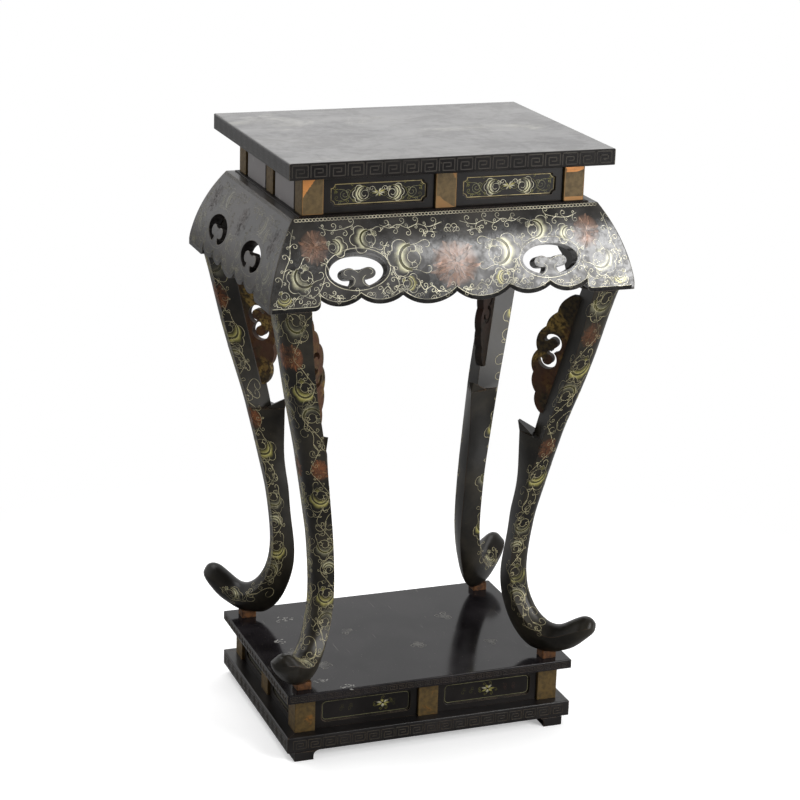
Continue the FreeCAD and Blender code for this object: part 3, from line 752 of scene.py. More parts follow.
class Painter:
    """Lays raised lines and soft washes on a surface and gathers them into one mesh."""

    def __init__(self, surface, strength=1.0):
        self.surface = surface
        self.strength = strength
        self.points = []
        self.normals = []
        self.faces = []
        self.paint = []

    def put(self, point, normal, colour, strength):
        """A point of the mesh, with its paint."""
        self.points.append(point)
        self.normals.append(normal)
        self.paint.append((colour[0], colour[1], colour[2], strength * self.strength))
        return len(self.points) - 1

    def line(self, path, width, colour, strength=1.0):
        """A raised line along a path, broken where the path leaves the surface."""
        run = []
        for u, v in evenly(path, LINE_STEP):
            spot = self.surface(u, v)
            if spot is None:
                self.ridge(run, width, colour, strength)
                run = []
            elif not run or (spot[0] - run[-1][0]).length > 0.1 * LINE_STEP * MM:
                run.append(spot)
        self.ridge(run, width, colour, strength)

    def ridge(self, run, width, colour, strength):
        """A low ridge along the points of a run, thinner towards its ends."""
        last = len(run) - 1
        if last < 2:
            return
        rows = []
        for i, (point, normal) in enumerate(run):
            ahead = run[min(i + 1, last)][0] - run[max(i - 1, 0)][0]
            side = normal.cross(ahead).normalized()
            half = width * MM / 2 * min(1.0, 0.4 + 0.3 * min(i, last - i))
            foot = normal * (-LINE_SINK * MM)
            row = (self.put(point - side * half + foot, (normal - 0.5 * side).normalized(), colour, strength),
                   self.put(point + normal * (LINE_RAISE * MM), normal, colour, strength),
                   self.put(point + side * half + foot, (normal + 0.5 * side).normalized(), colour, strength))
            rows.append(row)
        for a, b in zip(rows, rows[1:]):
            self.faces.append((a[0], b[0], b[1], a[1]))
            self.faces.append((a[1], b[1], b[2], a[2]))

    def wash(self, rows, colour):
        """A film of paint over a grid of places, each with its own strength."""
        grid = []
        for row in rows:
            line = []
            for u, v, strength in row:
                spot = self.surface(u, v)
                if spot is None:
                    line.append(None)
                else:
                    raised = spot[0] + spot[1] * (WASH_RAISE * MM)
                    line.append((self.put(raised, spot[1], colour, strength), spot[1]))
            grid.append(line)
        for upper, lower in zip(grid, grid[1:]):
            for i in range(len(upper) - 1):
                corners = (upper[i], upper[i + 1], lower[i + 1], lower[i])
                if None not in corners:
                    self.film([corner[0] for corner in corners], corners[0][1])

    def film(self, corners, normal):
        """One face of a wash, turned outwards."""
        a, b, c, d = (self.points[i] for i in corners)
        crossed = (c - a).cross(d - b)
        if crossed.length > 1e-12:
            self.faces.append(tuple(corners) if crossed.dot(normal) > 0 else tuple(reversed(corners)))

    def gather(self, name, material):
        """All that was laid so far, as one piece."""
        mesh = bpy.data.meshes.new(name)
        mesh.from_pydata(self.points, [], self.faces)
        mesh.update()
        paint = mesh.color_attributes.new("paint", "FLOAT_COLOR", "POINT")
        for i, colour in enumerate(self.paint):
            paint.data[i].color = colour
        for face in mesh.polygons:
            face.use_smooth = True
        mesh.normals_split_custom_set_from_vertices(self.normals)
        set_down(name, mesh, material)


# ornament: turns and headings are in radians, and a motif's inner sizes are shares of its own size

def curve(start, heading, length, bend_start, bend_end):
    """A line whose bend grows evenly along it, so that it ends in a curl."""
    parts = max(16, round(length / 0.6))
    step = length / parts
    points = [start]
    for i in range(parts):
        share = (i + 0.5) / parts
        heading += (bend_start + (bend_end - bend_start) * share) * step
        start = (start[0] + math.cos(heading) * step, start[1] + math.sin(heading) * step)
        points.append(start)
    return points


def tendril(painter, start, heading, size, hand, colour=PALE_GOLD, width=0.62):
    """A single curl that winds up to one side."""
    painter.line(curve(start, heading, 4.0 * size, 0.2 * hand / size, 3.1 * hand / size), width, colour)


def double_curl(painter, start, heading, size, colour=PALE_GOLD):
    """Two curls that part from one stalk."""
    tendril(painter, start, heading - 0.25, size, 1, colour)
    tendril(painter, start, heading + 0.25, 0.8 * size, -1, colour)


def flowing(knots, parts=8):
    """A smooth path through a few places."""
    padded = [knots[0]] + list(knots) + [knots[-1]]
    path = []
    for p0, p1, p2, p3 in zip(padded, padded[1:], padded[2:], padded[3:]):
        for i in range(parts):
            t = i / parts
            path.append(tuple(
                0.5 * (2 * b + (c - a) * t + (2 * a - 5 * b + 4 * c - d) * t ** 2
                       + (3 * b - a - 3 * c + d) * t ** 3)
                for a, b, c, d in zip(p0, p1, p2, p3)))
    path.append(tuple(knots[-1]))
    return path


def vine(painter, knots, size, spacing, colour=PALE_GOLD, side=1, width=0.65):
    """A winding stalk with curls on both sides by turns."""
    path = evenly(flowing(knots), 1.0)
    painter.line(path, width, colour)
    place = spacing * 0.4
    while place < len(path) - 2:
        i = int(place)
        heading = math.atan2(path[i + 1][1] - path[i][1], path[i + 1][0] - path[i][0])
        tendril(painter, path[i], heading + 0.35 * side, size, side, colour, 0.9 * width)
        tendril(painter, path[i], heading - 0.9 * side, 0.5 * size, -side, colour, 0.9 * width)
        side = -side
        place += spacing


def placer(centre, size, turn, hand):
    """From a motif's own plane to the pattern."""
    cosine = math.cos(turn)
    sine = math.sin(turn)

    def place(x, y):
        y = y * hand
        return centre[0] + size * (cosine * x - sine * y), centre[1] + size * (sine * x + cosine * y)

    return place


def lobed_rim(share, lobes):
    """Outline of a leaf with round lobes, from one end to the other, as a share of its reach."""
    return math.sin(math.pi * share) ** 0.38 * (0.5 + 0.5 * abs(math.sin(lobes * math.pi * share)) ** 0.7)


def gourd(painter, centre, size, turn, hand, reach, glow, curls, line=PALE_GOLD, lit=1.0):
    """A fruit held in a bowed stem, with a lobed leaf behind the stem, which bows to the motif's left."""
    place = placer(centre, size, turn, hand)

    def polar(radius, angle, x=0.0, y=0.0):
        return place(x + radius * math.cos(angle), y + radius * math.sin(angle))

    angles = [math.radians(92 + 176 * i / 24) for i in range(25)]
    painter.wash([[(*polar(r, a), 0.95) for r in (0.88, 1.0, 1.12)] for a in angles], OLIVE)
    for radius in (0.87, 1.13):
        painter.line([polar(radius, a) for a in angles], 0.6, line)

    rims = []
    leaf = []
    inside = []
    for share in shares(32):
        a = math.radians(108 + 146 * share)
        rim = 1.2 + (reach - 0.95) * lobed_rim(share, 3)
        rims.append(polar(rim, a))
        leaf.append([(*polar(1.14 + (rim - 1.14) * j / 6, a), lit * 0.9 * max(1 - j / 3.6, 0.0) ** 1.5)
                     for j in range(7)])
        full = lit * 0.85 * math.sin(math.pi * share) ** 0.5
        inside.append([(*polar(0.86 - 0.09 * j, a), full * (1 - j / 5) ** 1.5) for j in range(6)])
    painter.wash(leaf, glow)
    painter.wash(inside, glow)
    painter.line(rims, 0.72, line)
    winding = []
    for share in shares(63):
        radius = 0.2 + 0.68 * (1 - share) ** 1.1
        winding.append(polar(radius, math.radians(268 + 430 * share), 0.1 * share, -0.16 * share))
    painter.line(winding, 0.55, line)

    fan = []
    fan_rims = []
    for share in shares(20):
        a = math.radians(-40 + 150 * share)
        rim = 0.20 + 0.36 * lobed_rim(share, 3)
        fan_rims.append(polar(rim, a, 0.46, 0.46))
        fan.append([(*polar(rim * j / 4, a, 0.46, 0.46), lit * 0.7 * (1 - j / 4) ** 1.2) for j in range(5)])
    painter.wash(fan, glow)
    painter.line(fan_rims, 0.55, line)
    if not curls:
        return
    for degrees, way in ((92.0, -1), (268.0, 1)):
        end = math.radians(degrees)
        heading = end + way * math.pi / 2
        stalk = curve((math.cos(end), math.sin(end)), heading, 0.9, -way * 0.2, -way * 0.9)
        tail = curve(stalk[-1], heading - way * 0.5, 1.5, way * 0.5, way * 5.0)
        painter.line([place(x, y) for x, y in stalk + tail[1:]], 0.6, line)
        twig = curve(stalk[5], heading + way * 0.8, 1.2, way * 1.0, way * 6.5)
        painter.line([place(x, y) for x, y in twig], 0.55, line)


# petals of each ring, and their start and length
FLOWER_RINGS = ((13, 0.50, 0.46), (10, 0.28, 0.42), (7, 0.06, 0.34))


def rust_flower(painter, centre, half_width, half_height, seed, fade=1.0, reds=(RUST, RUST_PALE)):
    """A full-blown flower in rust red: rings of narrow curling petals, worn thin, with lines on them."""
    dice = random.Random(seed)

    def place(x, y):
        return centre[0] + half_width * x, centre[1] + half_height * y

    blush = []
    for j in range(6):
        turns = [2 * math.pi * i / 32 for i in range(33)]
        reach = 0.9 * j / 5
        shade = 0.56 * fade * (1 - (j / 5) ** 3)
        blush.append([(*place(reach * math.cos(a), reach * math.sin(a)), shade) for a in turns])
    painter.wash(blush, reds[0])
    for petals, start, length in FLOWER_RINGS:
        for k in range(petals):
            a = 2 * math.pi * (k + dice.uniform(-0.3, 0.3)) / petals
            bend = dice.choice((-1, 1)) * dice.uniform(1.5, 6.5)
            root = (start * math.cos(a), start * math.sin(a))
            spine = curve(root, a - 0.16 * bend, length * dice.uniform(0.7, 1.1), 0.2 * bend, bend)
            last = len(spine) - 1
            strength = fade * dice.uniform(0.3, 0.85)
            rows = []
            for i, (x, y) in enumerate(spine):
                ahead = spine[min(i + 1, last)]
                behind = spine[max(i - 1, 0)]
                heading = math.atan2(ahead[1] - behind[1], ahead[0] - behind[0])
                half = 0.085 * math.sin(math.pi * (0.12 + 0.84 * i / last)) ** 0.8
                row = []
                for j in (-2, -1, 0, 1, 2):
                    spot = place(x - math.sin(heading) * half * j / 2, y + math.cos(heading) * half * j / 2)
                    row.append((*spot, strength if abs(j) < 2 else 0.1))
                rows.append(row)
            painter.wash(rows, reds[1 if k % 3 == 1 else 0])
            painter.line([row[0][:2] for row in rows], 0.6, RUST_LINE, 0.9 * fade)
            painter.line([row[-1][:2] for row in rows], 0.4, reds[1], 0.6 * fade)


def scallop_height(along, cusps):
    """Height of an apron's lower edge over its lowest line."""
    x = abs(along)
    span = cusps[0]
    if x >= span + CORNER_ROUND:
        return 0.0
    if x > span:
        inside = span + CORNER_ROUND - x
        return CORNER_ROUND - math.sqrt(max(CORNER_ROUND ** 2 - inside ** 2, 0.0))
    knots = sorted(set(list(cusps) + [-c for c in cusps]))
    gaps = [b - a for a, b in zip(knots, knots[1:])]
    for a, b in zip(knots, knots[1:]):
        if a <= along <= b:
            lobe = 0.0 if b - a > max(gaps) - 1e-6 else SMALL_LOBE_RISE
            drop = CUSP_RISE - lobe
            half = (b - a) / 2
            radius = (half ** 2 + drop ** 2) / (2 * drop)
            return lobe + radius - math.sqrt(max(radius ** 2 - (along - (a + b) / 2) ** 2, 0.0))
    return CUSP_RISE


# lines on one half of a tongue, from its middle at the height of its curls: inside the top, round the hollow
TONGUE_STROKES = (
    ((0.0, -1.0), (4.5, 2.0), (11.5, 3.8), (17.0, 2.2), (18.6, -1.2), (15.5, -3.4)),
    ((9.5, -4.0), (5.8, -6.8), (5.2, -10.6), (7.4, -14.2), (13.5, -17.6)),
)
# dark paint round a cut-out: gap to the edge and strength; gold lines run outside it
CLOUD_RIM = ((0.2, 0.9), (1.6, 0.9), (3.0, 0.75), (4.0, 0.0))
CLOUD_LINE = 4.4
# painted shade along the lower edge, standing for the shade under the rounded rim: gap to the edge and
# strength
LOWER_EDGE_PAINTED_SHADE = ((0.3, 1.0), (1.8, 1.0), (3.2, 0.95), (4.4, 0.75), (5.4, 0.0))
LOWER_LINE = 5.8
LOWER_CURLS = 7.0
CURL_SPACING = 10.5


def cloud_ring(face, middle, gap, shade=1.0):
    """Places round a cut-out, a little outside its edge."""
    ring = []
    for i in range(81):
        a = 2 * math.pi * i / 80
        ring.append((middle + (CLOUD_HALF[0] + gap) * math.cos(a),
                     face.up_at(CLOUD_RISE + (CLOUD_HALF[1] + gap) * math.sin(a)), shade))
    return ring


def apron_edging(painter, face, cusps, cloud, strength):
    """Gold lines along the lower edge and round the cut-outs, with small curls between."""
    end = int(face.half) - 3

    def along(lift, shade=1.0):
        return [(x, face.up_at(scallop_height(x, cusps) + lift), shade) for x in range(-end, end + 1)]

    # painted shade: a black film, its normals leaning down, stands for the shade under the rounded lower rim
    painter.surface = tilted(face, 0.9)
    painter.wash([along(lift, shade) for lift, shade in LOWER_EDGE_PAINTED_SHADE], BLACK)
    painter.surface = face
    painter.line([place[:2] for place in along(LOWER_LINE)], 0.75, PALE_GOLD, strength)
    for side in (-1, 1):
        painter.wash([cloud_ring(face, side * cloud, gap, shade) for gap, shade in CLOUD_RIM], BLACK)
        ring = [place[:2] for place in cloud_ring(face, side * cloud, CLOUD_LINE)]
        painter.line(ring, 0.75, PALE_GOLD, strength)
        for hand in (-1, 1):
            for stroke in TONGUE_STROKES:
                bow = [(side * cloud + hand * x, face.up_at(CLOUD_RISE - CURL_DROP + z)) for x, z in stroke]
                painter.line(flowing(bow), 0.6, PALE_GOLD, 0.8 * strength)
    spot = -end + 6.0
    hand = 1
    while spot < end - 6:
        foot = face.up_at(scallop_height(spot, cusps) + LOWER_CURLS)
        tendril(painter, (spot, foot), math.pi / 2 - 0.5, 4.0, hand, width=0.5)
        spot += CURL_SPACING
        hand = -hand


def mirrored_half(painter, sign, gourds, vines):
    """Half of an apron's pattern: places count outward from the middle, and turns are the left half's."""
    for x, v, size, degrees, hand, reach, glow, curls in gourds:
        turn = math.radians(degrees)
        if sign > 0:
            turn = math.pi - turn
        gourd(painter, (sign * x, v), size, turn, -hand * sign, reach, glow, curls)
    for knots, size, spacing, side in vines:
        vine(painter, [(sign * x, v) for x, v in knots], size, spacing, side=-side * sign)


# fruit: place, size, turn in degrees, hand, reach of the leaf, glow, and whether it ends in curls;
# vines: places, size and spacing of the curls, and the side of the first curl
FRONT_GOURDS = (
    (110.0, 77.0, 11.0, 0.0, 1, 2.0, LEAF_GLOW, True),
    (57.0, 51.0, 15.5, 0.0, 1, 1.85, LEAF_GLOW, True),
    (65.0, 19.0, 7.5, 180.0, -1, 2.0, YELLOW_GLOW, True),
    (157.0, 69.0, 8.5, 180.0, -1, 1.9, LEAF_GLOW, False),
    (197.0, 35.0, 12.5, 40.0, 1, 1.75, LEAF_GLOW, True),
    (224.0, 12.0, 7.5, 90.0, 1, 1.8, YELLOW_GLOW, False),
)
FRONT_VINES = (
    (((227, 24), (222, 42), (214, 58), (211, 76), (205, 94)), 5.4, 14.0, 1),
    (((172, 95), (158, 90), (143, 91), (128, 95)), 5.4, 13.0, -1),
    (((94, 94), (82, 89), (70, 93), (58, 88), (44, 92), (30, 88), (12, 93)), 5.6, 13.5, 1),
    (((212, 5), (203, 13), (190, 9), (178, 17), (171, 33)), 4.8, 12.0, -1),
    (((168, 12), (158, 7), (146, 6)), 4.2, 11.0, 1),
    (((100, 8), (91, 17), (83, 9), (76, 20), (84, 36)), 4.6, 10.5, 1),
    (((50, 22), (43, 10), (32, 14), (22, 6), (8, 9)), 4.6, 11.0, -1),
    (((86, 72), (92, 62), (90, 50)), 4.4, 11.0, -1),
    (((176, 52), (168, 47), (165, 38)), 4.2, 11.0, 1),
    (((40, 76), (34, 82), (20, 80)), 4.2, 11.0, 1),
)
SIDE_GOURDS = (
    (68.0, 80.0, 10.0, 0.0, 1, 1.95, LEAF_GLOW, True),
    (17.0, 34.0, 9.5, 0.0, 1, 1.85, LEAF_GLOW, True),
    (102.0, 72.0, 7.5, 180.0, -1, 1.8, LEAF_GLOW, False),
    (140.0, 34.0, 11.0, 40.0, 1, 1.75, LEAF_GLOW, True),
    (162.0, 11.0, 7.0, 90.0, 1, 1.8, YELLOW_GLOW, False),
)
SIDE_VINES = (
    (((164, 22), (159, 42), (152, 58), (148, 78), (143, 94)), 4.2, 9.5, 1),
    (((116, 95), (104, 90), (92, 94), (84, 90)), 4.2, 9.0, -1),
    (((54, 92), (42, 88), (30, 93), (12, 90)), 4.4, 9.5, 1),
    (((150, 5), (141, 12), (128, 9), (116, 17), (112, 32)), 4.0, 8.5, -1),
    (((42, 8), (36, 17), (30, 8), (18, 12), (6, 7)), 3.8, 8.0, 1),
    (((40, 70), (34, 62), (32, 50)), 3.6, 8.0, -1),
)


def front_apron_pattern(painter, face):
    """A red flower in the middle and near each end, with fruit and vines between."""
    apron_edging(painter, face, FRONT_CUSPS, CLOUD_OFFSET["front"], 0.9)
    rust_flower(painter, (0.0, 40.0), 36.0, 33.0, 5)
    for sign in (-1, 1):
        rust_flower(painter, (sign * 181.0, 70.0), 21.0, 25.0, 11 + sign)
        mirrored_half(painter, sign, FRONT_GOURDS, FRONT_VINES)
        tendril(painter, (sign * 1.0, 80.0), math.pi / 2 - sign * 0.3, 5.5, -sign)
        tendril(painter, (sign * 1.0, 79.0), math.pi / 2 - sign * 1.2, 6.5, sign)


def side_apron_pattern(painter, face):
    """The same, closer together."""
    apron_edging(painter, face, SIDE_CUSPS, CLOUD_OFFSET["left"], 0.8)
    red_left = painter.strength      # the red wears off before the gold
    rust_flower(painter, (0.0, 66.0), 20.0, 21.0, 21, red_left)
    for sign in (-1, 1):
        rust_flower(painter, (sign * 126.0, 70.0), 18.0, 21.0, 31 + sign, red_left)
        mirrored_half(painter, sign, SIDE_GOURDS, SIDE_VINES)


# down a leg from its head
LEG_MOTIFS = ("outline", "rust", "fruit", "outline", "scroll", "rust", "fruit", "scroll", "outline", "small",
              "fruit", "outline", "scroll", "small", "fruit", "outline")
# how far from a leg's ridge its vines, its first flower and its other flowers lie, in widths of the leg,
# how much of the red is left, and how far before the end of the toe the painting stops
LEG_LANES = {
    "front_left": (0.42, 0.16, 0.45, 0.9, 22.0),
    "front_right": (0.50, 0.45, 0.45, 0.4, 44.0),
    "back_left": (0.72, 0.70, 0.68, 0.9, 12.0),
    "back_right": (0.40, 0.24, 0.24, 0.7, 12.0),
}


def leg_pattern(painter, face, seed, lane_share, first_flower, next_flower, red_left, bare_toe):
    """A thin vine with fruit, leaves and worn flowers down both outer faces of a leg."""
    dice = random.Random(seed)
    for hand in (-1, 1):
        v = 17.0
        knots = []
        for count, motif in enumerate(LEG_MOTIFS):
            width = face.station(v)[4]
            lane = hand * width * lane_share
            side = 1 if count % 2 else -1
            turn = (1.35 if side > 0 else -1.35) + dice.uniform(-0.5, 0.5)
            spot = (lane + 0.05 * side * width, v)
            if motif == "rust":
                spot = (hand * width * (first_flower if count < 3 else next_flower), v)
                rust_flower(painter, spot, 0.34 * width, 0.40 * width, seed * 10 + count, red_left, LEG_REDS)
            elif motif == "fruit":
                gourd(painter, spot, 0.27 * width, turn, side * hand, 1.9, YELLOW_GLOW, True, LEG_GOLD, 1.0)
            elif motif == "outline":
                gourd(painter, spot, 0.26 * width, turn, -side * hand, 1.9, LEAF_GLOW, True, LEG_GOLD, 0.25)
            elif motif == "small":
                gourd(painter, spot, 0.2 * width, turn, side * hand, 1.8, LEAF_GLOW, False, LEG_GOLD, 0.8)
            else:
                double_curl(painter, spot, math.pi / 2 + dice.uniform(-0.5, 0.5), 0.26 * width, LEG_GOLD)
                heading = -math.pi / 2 + dice.uniform(-0.5, 0.5)
                tendril(painter, spot, heading, 0.32 * width, side, LEG_GOLD, 0.6)
            knots.append((lane - side * 0.26 * width, v))
            knots.append((lane, v + 0.42 * width))
            v += 0.88 * width
            if v > face.length - bare_toe:
                break
        vine(painter, knots, 4.6, 14.0, LEG_GOLD, hand, 0.6)


def cartouche_border(painter, half, height, notch, colour, width, notched):
    """A line inside a sunk cartouche, its corners notched or rounded like the cartouche's own."""
    path = []
    for right, up, start in ((1, 1, 0), (-1, 1, 90), (-1, -1, 180), (1, -1, 270)):
        corner = (right * half, up * height)
        if not notched:
            corner = (right * (half - notch), up * (height - notch))
        for i in range(9):
            a = math.radians(start + 270 - 90 * i / 8 if notched else start + 90 * i / 8)
            path.append((corner[0] + notch * math.cos(a), corner[1] + notch * math.sin(a)))
    painter.line(path + path[:1], width, colour)


# right half of a cartouche of the waist: stalks, and curls by place, heading, size, hand, colour and width
WAIST_STALKS = (
    (GREY_GREEN, ((10, -6), (20, -10), (32, -9), (39, -2), (44, 5), (52, 6))),
    (GREEN_GOLD, ((12, 5), (20, 9), (29, 8.5), (36, 3), (40, -5), (47, -9), (55, -7))),
)
WAIST_CURLS = (
    (53, 7, -0.6, 3.4, 1, GREEN_GOLD, 0.6), (54, -8, 0.5, 3.4, 1, GREEN_GOLD, 0.6),
    (33, 10, 0.1, 2.6, 1, GREEN_GOLD, 0.6), (30, -10.5, -0.1, 2.6, 1, GREEN_GOLD, 0.6),
    (57, 0, 1.2, 2.4, 1, GREEN_GOLD, 0.6), (36, 3, 0.9, 3.6, -1, GREY_GREEN, 0.5),
    (40, -5, -0.6, 3.2, -1, GREEN_GOLD, 0.5), (47, -9, 0.5, 3.0, -1, GREY_GREEN, 0.5),
    (52, 6, 0.2, 3.4, -1, GREEN_GOLD, 0.5),
)


def waist_scroll(painter):
    """Fruit and scrolls on both sides of a bright flower, for the long cartouches of the waist."""
    dice = random.Random(9)
    for k in range(9):
        a = 2 * math.pi * k / 9 + dice.uniform(-0.2, 0.2)
        reach = dice.uniform(0.7, 1.0)
        petal = []
        for j in range(5):
            half = 0.24 * math.sin(math.pi * (0.1 + 0.8 * j / 4))
            turns = [a + half * i for i in (-1, 0, 1)]
            petal.append([(10.0 * reach * j / 4 * math.cos(turn), 6.4 * reach * j / 4 * math.sin(turn),
                           1.0 - 0.5 * j / 4) for turn in turns])
        painter.wash(petal, YELLOW_GLOW if k % 2 else PALE_GOLD)
    for sign in (-1, 1):
        gourd(painter, (sign * 19.0, -0.5), 8.0, 0.0 if sign < 0 else math.pi, -sign, 1.6, LEAF_GLOW, False)
        tendril(painter, (sign * 4.0, 3.0), math.pi / 2 - sign * 0.2, 4.4, -sign, PALE_GOLD, 0.5)
        tendril(painter, (sign * 5.0, -4.0), -math.pi / 2 + sign * 1.2, 4.0, sign, GREEN_GOLD, 0.5)
        for colour, knots in WAIST_STALKS:
            painter.line(flowing([(sign * x, y) for x, y in knots]), 0.5, colour)
        whorl = []
        for share in shares(49):
            r = 6.2 * (1 - share) ** 0.8 + 0.8
            a = math.radians(-150 + 610 * share)
            whorl.append((sign * (44.0 + r * math.cos(a)), -0.5 + r * math.sin(a)))
        painter.line(whorl, 0.5, GREY_GREEN)
        for x, y, heading, size, hand, colour, width in WAIST_CURLS:
            heading = heading if sign > 0 else math.pi - heading
            tendril(painter, (sign * x, y), heading, size, hand * sign, colour, width)


def small_flower(painter, centre, size, seed):
    """A low flower with a bright heart and a curl at each petal, for the cartouches of the base."""
    dice = random.Random(seed)

    def polar(reach, angle):
        return centre[0] + reach * math.cos(angle), centre[1] + 0.6 * reach * math.sin(angle)

    for k in range(7):
        a = 2 * math.pi * k / 7 + dice.uniform(-0.2, 0.2)
        rows = []
        for j in range(4):
            reach = size * (0.2 + 0.8 * j / 3)
            half = 0.34 * math.sin(math.pi * (0.15 + 0.8 * j / 3))
            rows.append([(*polar(reach, a + half * i), 1.0 - 0.8 * j / 3) for i in (-1, 0, 1)])
        painter.wash(rows, PALE_GOLD if k % 2 else YELLOW_GLOW)
        tendril(painter, polar(size, a), a, 2.8, dice.choice((-1, 1)), GREEN_GOLD, 0.5)


CARTOUCHE_SINK = 2.5


def panel_face(node, side):
    """The sunk field of the panels of one side, with its origin on the middle line of the side."""
    low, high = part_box(node)
    turn = side_turn(side)
    origin = turn @ Vector((0.0, CARTOUCHE_SINK * MM - side_out(node, side), (low.z + high.z) / 2))
    return flat_face(origin, turn @ Vector((1.0, 0.0, 0.0)), (0.0, 0.0, 1.0))


# how much of the painting is left on each apron
APRON_WEAR = {"front": 1.0, "back": 0.8, "left": 0.24, "right": 0.6}


def paint_aprons():
    """The pattern of each apron, as far as it is left."""
    for side in SIDES:
        face = APRONS[side]
        is_long = side in LONG_SIDES
        painter = Painter(face, APRON_WEAR[side])
        if is_long:
            front_apron_pattern(painter, face)
        else:
            side_apron_pattern(painter, face)
        material = "apron_paint" if is_long else "side_apron_paint"
        painter.gather("apron_ornament_" + side, material)


def paint_legs():
    """The vines of each leg."""
    for seed, corner in enumerate(CORNERS):
        face = LegFace(corner)
        painter = Painter(face, 0.9)
        leg_pattern(painter, face, seed + 3, *LEG_LANES[corner])
        painter.gather("leg_ornament_" + corner, "leg_paint")


# start, end and half height of the cartouches, as in the CAD source
WAIST_PANEL = (24.1, 150.4, 14.0)
WAIST_PANEL_DROP = 2.75      # from the middle of a panel to the middle of its cartouche
BASE_PANEL = (24.1, 148.9, 14.5)
BASE_SIDE_PANEL = (24.1, 96.4, 14.5)
CARTOUCHE_NOTCH = 5.0


def paint_panels():
    """Borders and ornament in the cartouches of the waist and the base; the ends of the waist are plain."""
    for side in SIDES:
        is_long = side in LONG_SIDES
        if is_long:
            face = panel_face("waist_panels_" + side, side)
            start, end, height = WAIST_PANEL
            painter = Painter(face)
            for sign in (-1, 1):
                painter.surface = moved(face, sign * (start + end) / 2, -WAIST_PANEL_DROP)
                half = (end - start) / 2
                cartouche_border(painter, half - 1.5, height - 1.5, CARTOUCHE_NOTCH, BORDER_GOLD, 1.0, True)
                waist_scroll(painter)
            painter.gather("waist_scrolls_" + side, "panel_paint")
        face = panel_face("base_panels_" + side, side)
        start, end, height = BASE_PANEL if is_long else BASE_SIDE_PANEL
        painter = Painter(face, 0.75)
        for sign in (-1, 1):
            painter.surface = moved(face, sign * (start + end) / 2, 0.0)
            half = (end - start) / 2
            cartouche_border(painter, half - 2.0, height - 2.0, CARTOUCHE_NOTCH, GREY_GREEN, 0.8, False)
            if is_long:
                small_flower(painter, (13.0 - 11.0 * sign, 0.5), 10.0, 40 + sign)
            else:
                small_flower(painter, (0.0, 0.5), 6.0, 40 + sign)
            for reach in (18.0, 30.0):
                double_curl(painter, (reach + 6.0, -1.0), 0.2, 4.0, RUST_LINE if sign > 0 else OLIVE)
                double_curl(painter, (-reach, 1.0), math.pi - 0.2, 4.0, OLIVE)
        painter.gather("base_flowers_" + side, "panel_paint")


POST_EDGE = 13.0             # where the gilded edges of a post run, from the middle of its face
POST_END = 24.6
# gold leaf left on the posts: rows of height and left and right end, from the middle of a post's face
POST_PATCHES = {
    "corner_post_front_left": (
        (BRIGHT_GILT, ((24.8, -13.0, 5.0), (19.0, -13.0, 2.5), (12.0, -13.0, -2.0), (6.0, -13.0, -6.5),
                       (1.0, -13.0, -10.0), (-3.0, -13.0, -12.2))),
    ),
    "mid_post_front": (
        (POST_RUB, ((-10.0, -13.0, -9.0), (-16.0, -13.0, -2.0), (-21.0, -13.0, 5.0), (-24.8, -13.0, 12.0))),
        (DULL_GILT, ((24.8, 5.0, 13.0), (19.0, 8.0, 13.0), (12.0, 11.0, 13.0))),
    ),
    "corner_post_front_right": (
        (BRIGHT_GILT, ((24.8, -13.0, 13.0), (19.0, -13.0, 13.0), (15.0, -11.0, 12.0), (12.0, -12.0, 3.0))),
        (DULL_GILT, ((-20.0, -13.0, 13.0), (-24.8, -13.0, 13.0))),
    ),
    "corner_post_back_left": ((DULL_GILT, ((24.8, -4.0, 13.0), (18.0, 2.0, 13.0), (8.0, 9.0, 13.0))),),
    "mid_post_back": ((DULL_GILT, ((-12.0, 4.0, 13.0), (-18.0, -4.0, 13.0), (-24.8, -10.0, 13.0))),),
    "corner_post_back_right": ((BRIGHT_GILT, ((24.8, -13.0, 8.0), (16.0, -13.0, 1.0), (10.0, -13.0, -8.0))),),
}


def paint_posts():
    """Patches of gold leaf and gilded edges on the posts of the waist."""
    dice = random.Random(23)
    painter = Painter(None)
    for post, patches in POST_PATCHES.items():
        low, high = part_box("waist_" + post)
        is_front = "front" in post
        way = 1.0 if is_front else -1.0
        middle = (low + high) / 2
        middle.y = low.y if is_front else high.y
        painter.surface = flat_face(middle, (way, 0.0, 0.0), (0.0, 0.0, 1.0))
        for colour, rows in patches:
            outline = flowing([row[1:] + row[:1] for row in rows], 4)
            film = []
            for left, right, v in outline:
                ragged = right if abs(right) > POST_EDGE - 0.5 else right + dice.uniform(-0.8, 0.8)
                film.append([(left + (ragged - left) * i / 6, v, dice.uniform(0.75, 1.0)) for i in range(7)])
            painter.wash(film, colour)
        for u in (-POST_EDGE, POST_EDGE):
            painter.line([(u, 0.1 - POST_END), (u, POST_END - 0.1)], 0.7, DULL_GILT, 0.7)
        painter.line([(-POST_EDGE, -POST_END), (POST_EDGE, -POST_END)], 0.7, DULL_GILT, 0.7)
    painter.gather("post_gold_leaf", "post_paint")


# repeated borders

